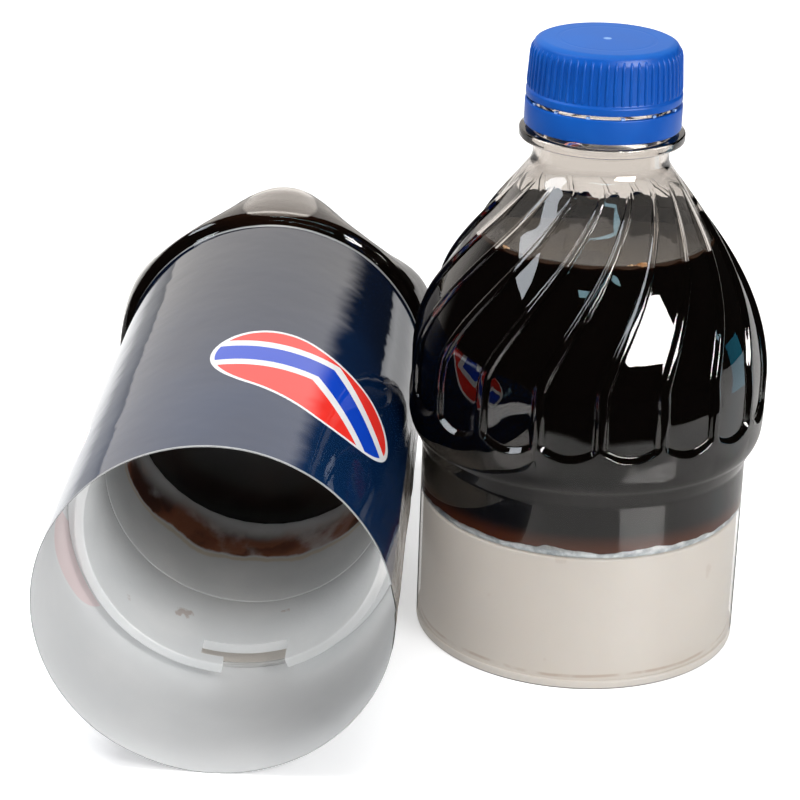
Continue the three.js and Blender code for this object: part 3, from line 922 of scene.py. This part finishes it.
# %% Adhesive beads
def wavy_bead(name, inner, outer, bottom, top, seed):
    """A ring of adhesive: a bean-shaped section that swells along its way."""
    columns, sides = 240, 12
    middle, half = 0.5 * (inner + outer), 0.5 * (outer - inner)
    points, faces = [], []
    for a in even_angles(columns):
        here = Vector((4 * math.cos(a), 4 * math.sin(a), seed))
        swell = 0.86 + 0.14 * noise.noise(here * 2.2)
        ragged = 0.14 * noise.noise(here * 1.3 + Vector((9, 3, 1))) + 0.10 * noise.noise(here * 9)
        tall = (top - bottom) * min(1, 0.84 + ragged)
        for b in even_angles(sides):
            r = middle + half * swell * math.cos(b)
            points.append(polar(r, a, bottom + tall * (0.5 + 0.5 * math.sin(b))))
    for i in range(columns):
        for k in range(sides):
            a, b = i * sides + k, i * sides + (k + 1) % sides
            c, d = (b + sides) % len(points), (a + sides) % len(points)
            faces.append((d, c, b, a))
    mesh = mesh_of(name, points, faces)
    smooth(mesh, 80)
    return piece_of(mesh, adhesive_finish)


upper_bead = wavy_bead("upper_bead", 31.0, 32.75, bulkhead + 0.1, 31.7, 2.0)
seat(upper_bead, upper_place, "upper_half", "hot_glue", "upper_glue_bead")

# %% [markdown]
# The drink above the bulkhead is a turned body just inside the flutes. Its top is
# level, and its edge climbs the wall a little, as a liquid does.

# %% Drink of the upper half
def inside_flutes(z):
    return upper_radius(z) - flute_depth - wall


level_radius = inside_flutes(drink_level) - 0.15
foot_corners = [
    (0, bulkhead + 0.2), (30.8, bulkhead + 0.2), (30.8, 31.9), (32.7, 31.9),
    (32.7, waist_height), (34.2, crease), (34.6, 47.5), (34.75, 50.0),
]
side_corners = [(min(34.75, inside_flutes(z) - 0.2), z) for z in heights(55.0, drink_level, 1.6)]
edge_climb = [(0, 0.35), (0.25, 0.2), (0.9, 0.04), (1.8, 0)]
edge_corners = [(level_radius - inward, drink_level + up) for inward, up in edge_climb]
drink_outline = foot_corners + side_corners + edge_corners + [(0, drink_level)]
upper_liquid = turned("upper_liquid", drink_outline, drink_finish, 144, 60)
seat(upper_liquid, upper_place, "upper_half_carrier", "dark_drink", "upper_drink")

# %% [markdown]
# Small bubbles gather where the level meets the wall. They are instances of a tiny
# ball on a circle: noise decides where they crowd, and a seeded random value gives
# each its size.

# %% Bubbles at the edge of the drink
bubble_sizes = {
    "Places": 210, "Radius": (level_radius - 0.3) * mm, "Level": (drink_level + 0.25) * mm,
    "Ball": 0.46 * mm, "Seed": 7,
}
tree, geometry, size = rule("gather bubbles", **bubble_sizes)
sockets = {"Resolution": size["Places"], "Radius": size["Radius"]}
ring = geometry.node("GeometryNodeCurvePrimitiveCircle", None, sockets)
where = geometry.node("GeometryNodeInputPosition")
crowd = geometry.node("ShaderNodeTexNoise", None, {"Vector": where, "Scale": 95.0, "Detail": 2.0})
picked = crowd.math("GREATER_THAN", crowd, 0.575) * (1 - where.axes()[1].step(0.008, 0.009))
sockets = {2: 0.3, 3: 1.3, "Seed": size["Seed"]}
chance = geometry.node("FunctionNodeRandomValue", {"data_type": "FLOAT"}, sockets, out=1)
sockets = {"Radius": size["Ball"], "Subdivisions": 2}
ball = geometry.node("GeometryNodeMeshIcoSphere", None, sockets)
balls = geometry.node("GeometryNodeInstanceOnPoints", None, {
    "Points": lifted(ring, size["Level"]), "Selection": picked, "Instance": ball, "Scale": chance,
})
froth_finish = mottled(
    "froth", upper_coords, (900, 2.0, 0.3, 0.7), (0.45, 0.19, 0.06, 1), (0.90, 0.66, 0.42, 1),
    0.06, IOR=1.33, Transmission_Weight=0.4,
)
close_rule(balls, froth_finish)
edge_bubbles = run_rule(piece_of(bpy.data.meshes.new("edge_bubbles")), tree, **bubble_sizes)
smooth(edge_bubbles.data, 80)
seat(edge_bubbles, upper_place, "upper_half_carrier", "dark_drink")

# %% [markdown]
# ## Cap and torn band
#
# The cap is moulded polyethylene: satin, saturated blue, with sixty narrow ribs for
# the fingers between a plain lip and the rounded top. The body is turned, and one
# rib is repeated round it by a rule. The band that was torn from it stays on the
# neck, with the stretched, whitened stubs of its bridges.

# %% Cap plastic
def cap_plastic(wire):
    coords = upper_coords(wire)
    reach = coords.from_axis()
    grain = cloud(wire, coords, 2600, 2.0)
    flow = cloud(wire, coords, 60, 3.0)
    on_top = coords.axes()[2].step(0.1248, 0.1257)
    colour = flow.step(0.25, 0.8).mix((0.0005, 0.070, 0.38, 1), (0.001, 0.098, 0.47, 1))
    colour = (on_top * 0.35).mix(colour, (0.03, 0.17, 0.50, 1))
    gate = 1 - reach.step(0.0006, 0.0010)
    colour = (on_top * gate * 0.6).mix(colour, (0.35, 0.55, 0.85, 1))
    ring = (1 - (reach - 0.0095).abs().step(0.0002, 0.0005)) * on_top
    height = grain * 0.25 - ring
    return plastic(
        wire, Base_Color=colour, Roughness=0.33 + on_top * 0.12 + flow * 0.08, IOR=1.5,
        Specular_IOR_Level=0.18, Normal=relief(wire, height, 0.3, 0.00015),
    )


cap_finish = finish("blue cap plastic", cap_plastic)

# %% Cap body
cap_bottom, cap_top = 114.2, 125.8
cap_outline = rounded([
    (0, cap_top), (12.9, cap_top), (14.05, 125.25), (14.62, 123.9), (15.1, cap_bottom + 1.9),
    (15.5, cap_bottom + 1.5), (15.5, cap_bottom), (13.9, cap_bottom), (13.9, 124.6), (0, 124.6),
], 0.42, 4)
cap_mesh = turned_mesh("cap_body", cap_outline, even_angles(240))
smooth(cap_mesh, 40)
seat(piece_of(cap_mesh, cap_finish), upper_place, "cap", "blue_cap", "screw_cap")

# %% One rib, repeated round the cap
def rib_mesh():
    """A slim bar with a round section. Each row gives its height, reach and share of bulge."""
    rows = [
        (115.9, 15.00, 0.15), (116.3, 15.05, 0.75), (117.0, 15.04, 1.0), (120.5, 14.82, 1.0),
        (123.0, 14.66, 1.0), (123.9, 14.50, 0.9), (124.6, 14.15, 0.65), (125.1, 13.75, 0.3),
    ]
    points, faces = [], []
    for z, base, share in rows:
        for b in [math.pi * k / 5 for k in range(6)]:
            reach = base - 0.1 + 0.5 * share * math.sin(b)
            points.append((reach * mm, -0.36 * math.cos(b) * mm, z * mm))
    for i in range(len(rows) - 1):
        for k in range(6):
            a, b = 6 * i + k, 6 * i + (k + 1) % 6
            faces.append((a, b, b + 6, a + 6))
    faces += [tuple(range(5, -1, -1)), tuple(range(6 * len(rows) - 6, 6 * len(rows)))]
    return mesh_of("cap_ribs", points, faces)


def ring_rule(name, finish):
    """A rule that repeats the piece's own mesh evenly round the axis."""
    tree, geometry, size = rule(name, Count=60)
    sockets = {"Count": size["Count"], "Offset": (0, 0, 0)}
    line = geometry.node("GeometryNodeMeshLine", None, sockets)
    index = geometry.node("GeometryNodeInputIndex")
    turn = geometry.node("ShaderNodeCombineXYZ", None, {2: index * TURN / size["Count"]})
    copies = geometry.node("GeometryNodeInstanceOnPoints", None, {
        "Points": line, "Instance": geometry, "Rotation": turn,
    })
    close_rule(copies, finish)
    return tree


repeat_round = ring_rule("repeat round the cap", cap_finish)
cap_ribs = run_rule(piece_of(rib_mesh()), repeat_round, Count=60)
smooth(cap_ribs.data, 50)
seat(cap_ribs, upper_place, "cap", "blue_cap")

# %% Torn band and its stubs
band_outline = rounded([
    (14.6, 108.65), (15.6, 108.65), (15.6, 113.5), (14.6, 113.5), (14.6, 110.15),
    (13.12, 109.85), (13.12, 109.25),
], 0.28)
band = turned("band_ring", band_outline, cap_finish, 200)
seat(band, upper_place, "torn_band", "blue_cap", "tamper_band")

stretched = mottled(
    "stretched plastic", upper_coords, (800, 2.0, 0.3, 0.7),
    (0.12, 0.33, 0.80, 1), (0.45, 0.62, 0.90, 1), 0.5, 0.1,
)
stub = mesh_of("band_stubs", *block(14.75, 15.35, -1.3, 1.3, 113.3, 113.95, 3))
stubs = ring_rule("repeat round the band", stretched)
band_stubs = run_rule(piece_of(stub), stubs, Count=14)
smooth(band_stubs.data)
seat(band_stubs, upper_place, "torn_band", "blue_cap")

# %% Liner inside the cap
redress("cap_liner", mottled(
    "soft liner", upper_coords, (300, 3.0, 0.3, 0.7),
    (0.70, 0.71, 0.72, 1), (0.80, 0.80, 0.79, 1), 0.45, 0.1,
))

# %% [markdown]
# ## Lower half: the printed sleeve
#
# A shrink sleeve is a film printed on its inside, so its outside is glossy ink under
# film, and its inside is the white backing with the print faintly showing. It ends
# in a strip of clear film that crumples. The print is plain: two rounded badges with
# chevrons, and a bare back.

# %% Print of the sleeve
def sleeve_axes(wire):
    """Distance round the sleeve from its top, and along it from the rim, in metres."""
    coords = lower_coords(wire)
    x, y, z = coords.axes()
    clock = x.math("ARCTAN2", x, y)
    return coords, clock, sleeve_rim * mm - z


def badge_colour(wire, clock, along, ground):
    """Badges of red, white and blue chevrons on the ground colour, none at the back."""
    round_it = clock.math("WRAP", clock - math.radians(26), math.pi / 3, -math.pi / 3)
    s = round_it * (sleeve_radius * mm)
    t = along - 0.0415
    lean = math.radians(-22)
    u = s * math.cos(lean) + t * math.sin(lean)
    v = t * math.cos(lean) - s * math.sin(lean)
    side = (u.abs() - 0.0065).most(0.0)
    outline = (side * side + v * v) ** 0.5 - 0.0148
    chevron = (v + u.abs() * 0.55) / 0.030 + 0.42
    stripes = wire.node("ShaderNodeValToRGB", None, {0: chevron})
    ramp = stripes.socket.node.color_ramp
    ramp.interpolation = "CONSTANT"
    red, white, blue = (0.86, 0.035, 0.025, 1), (0.84, 0.84, 0.84, 1), (0.006, 0.058, 0.52, 1)
    fill_ramp(ramp, [(0.0, red), (0.40, white), (0.50, blue), (0.76, white), (0.86, red)])
    outline += clock.math("GREATER_THAN", clock, math.radians(86))
    outline += clock.math("LESS_THAN", clock, math.radians(-154))
    body = outline.step(-0.00095, -0.0008)
    badge = body.mix(stripes, white)
    return outline.step(-0.00008, 0.00008).mix(badge, ground)


def printed_film(wire):
    coords, clock, along = sleeve_axes(wire)
    broad = cloud(wire, coords, 45, 3.0)
    creases = cloud(wire, coords, 160, 3.0, (1.0, 1.0, 0.25))
    streaks = cloud(wire, coords, 2400, 2.0, (0.16, 0.16, 1.0))
    ground = broad.step(0.3, 0.75).mix((0.0020, 0.014, 0.050, 1), (0.0032, 0.020, 0.066, 1))
    ground = (along.step(0.020, 0.110) * 0.75).mix(ground, (0.0012, 0.0035, 0.012, 1))
    colour = badge_colour(wire, clock, along, ground)
    edge = along.step(0.1192, 0.1194).most(1 - along.step(0.0003, 0.0005))
    colour = edge.mix(colour, (0.40, 0.41, 0.41, 1))
    return plastic(
        wire, Base_Color=colour, Roughness=0.028 + broad * 0.02, IOR=1.75,
        Normal=relief(wire, broad * 0.4 + creases * 0.03 + streaks * 0.0055, 0.5, 0.0012),
    )


def sleeve_lining(wire):
    coords, clock, along = sleeve_axes(wire)
    broad = cloud(wire, coords, 45, 3.0)
    tone = broad.step(0.3, 0.75).mix((0.70, 0.705, 0.705, 1), (0.78, 0.78, 0.775, 1))
    print_behind = badge_colour(wire, clock, along, (0.66, 0.69, 0.72, 1))
    sockets = {0: 0.16, 6: tone, 7: print_behind}
    colour = wire.node("ShaderNodeMix", {"data_type": "RGBA"}, sockets, out=2)
    return plastic(
        wire, Base_Color=colour, Roughness=0.38 + broad * 0.15, IOR=1.5,
        # The emission is painted light: a faint glow deeper in the sleeve, for light that comes
        # through the film.
        Emission_Color=(along.step(0.020, 0.040) * 0.09).mix((0, 0, 0, 1), (1, 1, 1, 1)),
        Emission_Strength=1.0,
        Normal=relief(wire, broad, 0.25, 0.0008),
    )


def clear_film(wire):
    coords = lower_coords(wire)
    crumple = cloud(wire, coords, 260, 4.0, (1.0, 1.0, 0.22))
    film = plastic(
        wire, Base_Color=(0.86, 0.84, 0.82, 1), Roughness=0.14, IOR=1.35,
        Transmission_Weight=1.0, Normal=relief(wire, crumple, 0.9, 0.0012),
    )
    return let_light_in(wire, film)


print_finish = finish("printed film", printed_film)
lining_finish = finish("inside of the film", sleeve_lining)
film_finish = finish("clear film", clear_film)

# %% The sleeve
def sleeve_piece():
    """An outer and an inner skin. Its clock is 0 at the top; the ruckled strip is at 88."""
    columns, rows = 240, 60
    points, faces, kinds = [], [], []
    for base in (sleeve_radius, sleeve_radius - film_wall):
        for i in range(rows + 1):
            z = sleeve_rim + (sleeve_end - sleeve_rim) * i / rows
            for a in even_angles(columns):
                clock = (90 - math.degrees(a) + 180) % 360 - 180
                strip = max(0, 1 - abs(clock - 88) / 13)
                here = Vector((60 * math.cos(a), 60 * math.sin(a), 0.12 * z))
                ruck = abs(noise.noise(here * 0.35)) + 0.4 * abs(noise.noise(here * 0.9))
                r = base + 0.10 * noise.noise(here * 0.05) + 0.5 * strip * ruck
                points.append(polar(r, a, z))

    def quad(*corners):
        return [(skin * (rows + 1) + i) * columns + j % columns for skin, i, j in corners]

    for j in range(columns):
        clock = (90 - 360 * (j + 0.5) / columns + 180) % 360 - 180
        outer, inner = (2, 2) if 77 < clock < 99 else (0, 1)
        for i in range(rows):
            faces.append(quad((0, i, j), (0, i + 1, j), (0, i + 1, j + 1), (0, i, j + 1)))
            faces.append(quad((1, i, j), (1, i, j + 1), (1, i + 1, j + 1), (1, i + 1, j)))
            kinds += [outer, inner]
        faces.append(quad((0, 0, j), (0, 0, j + 1), (1, 0, j + 1), (1, 0, j)))
        faces.append(quad((0, rows, j), (1, rows, j), (1, rows, j + 1), (0, rows, j + 1)))
        kinds += [outer, outer]
    mesh = mesh_of("film_sleeve", points, faces)
    mesh.polygons.foreach_set("material_index", kinds)
    smooth(mesh, 50)
    return piece_of(mesh, print_finish, lining_finish, film_finish)


film_sleeve = sleeve_piece()
seat(film_sleeve, lower_place, "lower_half", "label_film", "label_sleeve")

# %% [markdown]
# ## Lower half: the blown base
#
# A carbonated drink needs a base with feet. The strap between two feet and the
# middle of a foot are two curves from the ring to the centre, and the surface swings
# from one to the other round the bottle. The mesh is turned on the strap curve and
# keeps, for each vertex, how far the foot curve lies from it. A rule then swells the
# feet, and Solidify gives the wall.

# %% The two curves of the base
foot_radius, foot_reach, dome_reach = 36.3, 30.5, 26.0
dome_depth = ring_depth + dome_reach
strap_shares = [
    (1, 0), (0.983, 0.135), (0.944, 0.29), (0.87, 0.48), (0.76, 0.67), (0.63, 0.83),
    (0.48, 0.95), (0.25, 1.015),
]
foot_shares = [
    (0.994, 0.115), (1, 0.26), (0.992, 0.475), (0.937, 0.705), (0.813, 0.905), (0.634, 1),
    (0.358, 0.925),
]
strap_points = [(base_ring * r, ring_depth + d * dome_reach) for r, d in strap_shares]
foot_points = [(foot_radius * r, ring_depth + d * foot_reach) for r, d in foot_shares]
foot_points.insert(0, (base_ring, ring_depth))
for curve in (strap_points, foot_points):
    curve.append((0, dome_depth))


def along_curve(points, t):
    """A point of the smooth curve through the given points, t from 0 to 1."""
    span = t * (len(points) - 1)
    k = min(int(span), len(points) - 2)
    f = span - k
    p = [Vector(points[max(0, min(len(points) - 1, k + i))]) for i in (-1, 0, 1, 2)]
    v0, v1 = (p[2] - p[0]) * 0.5, (p[3] - p[1]) * 0.5
    return (
        (2 * p[1] - 2 * p[2] + v0 + v1) * f ** 3 + (-3 * p[1] + 3 * p[2] - 2 * v0 - v1) * f * f
        + v0 * f + p[1]
    )


# %% Turned base with the feet's swell kept on it
def base_mesh(name, wall_corners, columns=150, steps=44):
    rows = [((r, -d), (0, 0)) for r, d in wall_corners]
    for s in range(1, steps + 1):
        t = s / steps
        strap, foot = along_curve(strap_points, t), along_curve(foot_points, t)
        rows.append(((strap.x, -strap.y), (foot.x - strap.x, strap.y - foot.y)))
    points, out, down = [], [], []
    for (r, z), (dr, dz) in rows[:-1]:
        points += [polar(r, a, z) for a in even_angles(columns)]
        out += [dr * mm] * columns
        down += [dz * mm] * columns
    points.append((0, 0, -dome_depth * mm))
    out.append(0)
    down.append(0)
    faces = []
    last = len(points) - 1
    for i in range(len(rows) - 1):
        for j in range(columns):
            a, b = i * columns + j, i * columns + (j + 1) % columns
            at_middle = i == len(rows) - 2
            faces.append((a, last, b) if at_middle else (a, a + columns, b + columns, b))
    mesh = mesh_of(name, points, faces)
    for label, values in (("swell_out", out), ("swell_down", down)):
        attribute = mesh.attributes.new(label, "FLOAT", "POINT")
        attribute.data.foreach_set("value", values)
    return mesh


foot_sizes = {"Feet": 5, "First": math.pi / 2, "Softness": 0.75}


def feet_rule(name, finish):
    tree, geometry, size = rule(name, **foot_sizes)
    position = geometry.node("GeometryNodeInputPosition")
    x, y, z = position.axes()
    angle = x.math("ARCTAN2", y, x)
    phase = (angle - size["First"]) * size["Feet"]
    lobe = (phase.math("COSINE", phase) * 0.5 + 0.5).most(0.0) ** size["Softness"]
    reach = position.from_axis() + stored(geometry, "FLOAT", "swell_out") * lobe
    height = z + stored(geometry, "FLOAT", "swell_down") * lobe
    close_rule(moved(geometry, reach, angle, height), finish)
    return tree


# %% Drink behind the lower wall, clear where the air bubble is
bubble_height = 0.07005


def wetted_lower(wire):
    level = whole_coords(wire).axes()[2]
    coords = lower_coords(wire)
    soft = cloud(wire, coords, 120, 2.0)
    top_edge = level.step(bubble_height - 0.004, bubble_height)
    colour = (top_edge * 0.06).mix((0.003, 0.002, 0.0015, 1), (0.10, 0.03, 0.01, 1))
    drink = plastic(wire, Base_Color=colour, Roughness=0.5, Specular_IOR_Level=0.0)
    filled = 1 - (coords.axes()[2] + soft * 0.001).step(-0.0410, -0.0402)
    under = 1 - level.step(bubble_height - 0.0001, bubble_height + 0.0001)
    clear = let_light_in(wire, clear_body(wire, coords))
    return pale_cut(wire, coords, (filled * under).blend(clear, drink))


wet_lower = finish("drink behind the wall, lower", wetted_lower)

# %% The blown base
lower_wall = [
    (33.42, 1.4), (33.4, 1.9), (33.25, 2.6), (33.25, 12), (33.25, 24), (33.25, 38),
    (33.25, 41), (33.25, 60), (33.25, 78.5), (33.22, 79.8), (33.18, 81.0), (33.12, 81.9),
    (33.12, 82.7), (33.35, 83.1), (34.2, 83.55), (35.05, 84.0), (35.45, 84.45),
    (base_ring, ring_depth),
]
bottle_base = piece_of(base_mesh("bottle_base", lower_wall))
run_rule(bottle_base, feet_rule("swell the feet", clear_lower), **foot_sizes)
bottle_base.data.materials.append(wet_lower)


def thicken(piece, thickness, inner_slot):
    """Gives an open shell its wall, on the inside, and keeps the result."""
    modifier = piece.modifiers.new("wall", "SOLIDIFY")
    modifier.thickness = thickness * mm
    modifier.offset = -1
    modifier.material_offset = inner_slot
    return keep_result(piece, modifier)


thicken(bottle_base, wall, 1)
smooth(bottle_base.data, 60)
seat(bottle_base, lower_place, "lower_half", "clear_pet", "lower_shell")

# %% [markdown]
# The drink in the base is the same shape, drawn in by the wall, and cut level where
# the air bubble floats in the uppermost foot.

# %% Drink of the lower half
drink_top, tube_foot = -40.8, -62.4


def lower_liquid_piece():
    columns, inset = 150, wall + 0.2
    piece = piece_of(base_mesh("lower_liquid", [(r, d) for r, d in lower_wall if d > 40], columns))
    run_rule(piece, feet_rule("swell the drink", drink_finish), **foot_sizes)
    drawn_in = [v.co - v.normal * inset * mm for v in piece.data.vertices]
    for v, place in zip(piece.data.vertices, drawn_in):
        v.co = place
    points, faces = corners_and_sides(piece.data)
    first = len(points)
    points[:columns] = [(x, y, drink_top * mm) for x, y, z in points[:columns]]
    for z in (drink_top, tube_foot):
        points += [polar(30.6, a, z) for a in even_angles(columns)]
    points.append((0, 0, tube_foot * mm))
    for j in range(columns):
        k = (j + 1) % columns
        faces.append((j, k, first + k, first + j))
        faces.append((first + j, first + k, first + columns + k, first + columns + j))
        faces.append((first + columns + j, first + columns + k, len(points) - 1))
    made = mesh_of("lower_liquid", points, faces)
    made.transform(lower_place)
    for v in made.vertices:
        v.co.z = min(v.co.z, bubble_height)
    made.transform(lower_place.inverted())
    made.materials.append(drink_finish)
    smooth(made, 60)
    piece.data = made
    return piece


lower_liquid = lower_liquid_piece()
seat(lower_liquid, lower_place, "lower_half", "dark_drink", "lower_drink")

# %% [markdown]
# ## Bayonet collar, stash tube and its floor
#
# The collar is moulded in a frosted plastic, with a flange on the cut edge and two
# L-shaped slots for the lugs. Each slot is two blocks cut away with a Boolean, which
# keeps the corners where a lug would meet them. The tube behind it holds the dry
# compartment, and old drink has stained it.

# %% Frosted plastic, with stains
def frosted(wire):
    coords = lower_coords(wire)
    x, y, z = coords.axes()
    broad = cloud(wire, coords, 40, 4.0)
    fine = cloud(wire, coords, 1500, 2.0)
    spots = cloud(wire, coords, 120, 5.0, (1.0, 1.0, 0.6))
    swirls = cloud(wire, coords, 60, 6.0, (1.0, 1.0, 0.6))
    runs = cloud(wire, (x + y + z) / 3 + swirls * 0.03, 85, 7.0, (1.0, 1.0, 0.4))
    colour = broad.step(0.3, 0.75).mix((0.60, 0.61, 0.61, 1), (0.72, 0.72, 0.71, 1))
    colour = (spots.step(0.70, 0.735) * 0.6).mix(colour, (0.28, 0.14, 0.07, 1))
    depth = z + (swirls - 0.5) * 0.012 + (runs - 0.5) * 0.003
    soaked = depth.step(-0.0600, -0.0500) * (1 - depth.step(-0.0436, -0.0422))
    tea = runs.step(0.34, 0.60).mix((0.055, 0.014, 0.007, 1), (0.30, 0.105, 0.05, 1))
    strong = 1 - spots.step(0.50, 0.68) * 0.62
    colour = (soaked * strong * (1 - runs.step(0.50, 0.75) * 0.45)).mix(colour, tea)
    line = 1 - (depth + 0.0412).abs().step(0.0003, 0.0012)
    colour = (line * 0.8).mix(colour, (0.62, 0.54, 0.42, 1))
    return plastic(
        wire, Base_Color=colour, Roughness=0.32 + broad * 0.2, IOR=1.5,
        Subsurface_Weight=0.2, Subsurface_Radius=(0.002, 0.002, 0.002), Subsurface_Scale=1.0,
        # The emission is painted light: a glow that grows towards the cut, for light that comes in
        # through the film and the translucent plastic.
        Emission_Color=(z.step(-0.030, -0.002) * 0.19).mix((0, 0, 0, 1), (0.95, 0.98, 1, 1)),
        Emission_Strength=1.0, Normal=relief(wire, fine + broad * 2, 0.2, 0.0002),
    )


frosted_finish = finish("frosted plastic", frosted)

# %% Collar with its slots
collar_outline = rounded([
    (29.3, 5.2), (31.3, 5.2), (31.3, 0), (33.25, 0), (33.25, -1.2), (31.3, -1.2), (31.3, -28.0),
    (30.65, -28.0), (30.65, -22.5), (29.3, -22.5),
], 0.35)
collar = turned("slotted_collar", collar_outline, frosted_finish, 180)
for turn in (0, 180):
    for start, end, top in ((-94, -69, 8.0), (-103, -93.1, 2.0)):
        shape = block(27.0, 36.0, start + turn, end + turn, -3.5, top)
        cutter = piece_of(mesh_of("cutter", *shape))
        cut = collar.modifiers.new("slot", "BOOLEAN")
        cut.operation, cut.object, cut.solver = "DIFFERENCE", cutter, "EXACT"
        keep_result(collar, cut)
        bpy.data.objects.remove(cutter)
smooth(collar.data, 35)
seat(collar, lower_place, "lower_half", "frosted_plastic", "bayonet_collar")

# %% Tube, its adhesive and its floor
tube_outline = rounded([
    (29.3, -22.7), (30.4, -22.7), (30.4, -62.2), (27.3, -62.2), (27.3, -61.2), (29.3, -61.2),
], 0.3)
tube = turned("stash_wall", tube_outline, frosted_finish, 180)
seat(tube, lower_place, "lower_half", "frosted_plastic", "stash_tube")
lower_bead = wavy_bead("lower_bead", 30.6, 32.55, -40.6, -38.5, 5.0)
seat(lower_bead, lower_place, "lower_half", "hot_glue", "tube_glue_bead")
redress("stash_floor", mottled(
    "clear floor over the drink", lower_coords, (70, 4.0, 0.45, 0.85),
    (0.0025, 0.0018, 0.0014, 1), (0.03, 0.014, 0.008, 1), 0.12, 0.2, IOR=1.5,
))

# %% [markdown]
# ## Measuring
#
# The two boxes are written side by side: the frame's and the dressed model's.

# %% Boxes of the frame and of the dressed model
dressed_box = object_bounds()
for label, box in (("frame", frame_box), ("dressed", dressed_box)):
    print(label, [tuple(round(v / mm, 2) for v in corner) for corner in box])
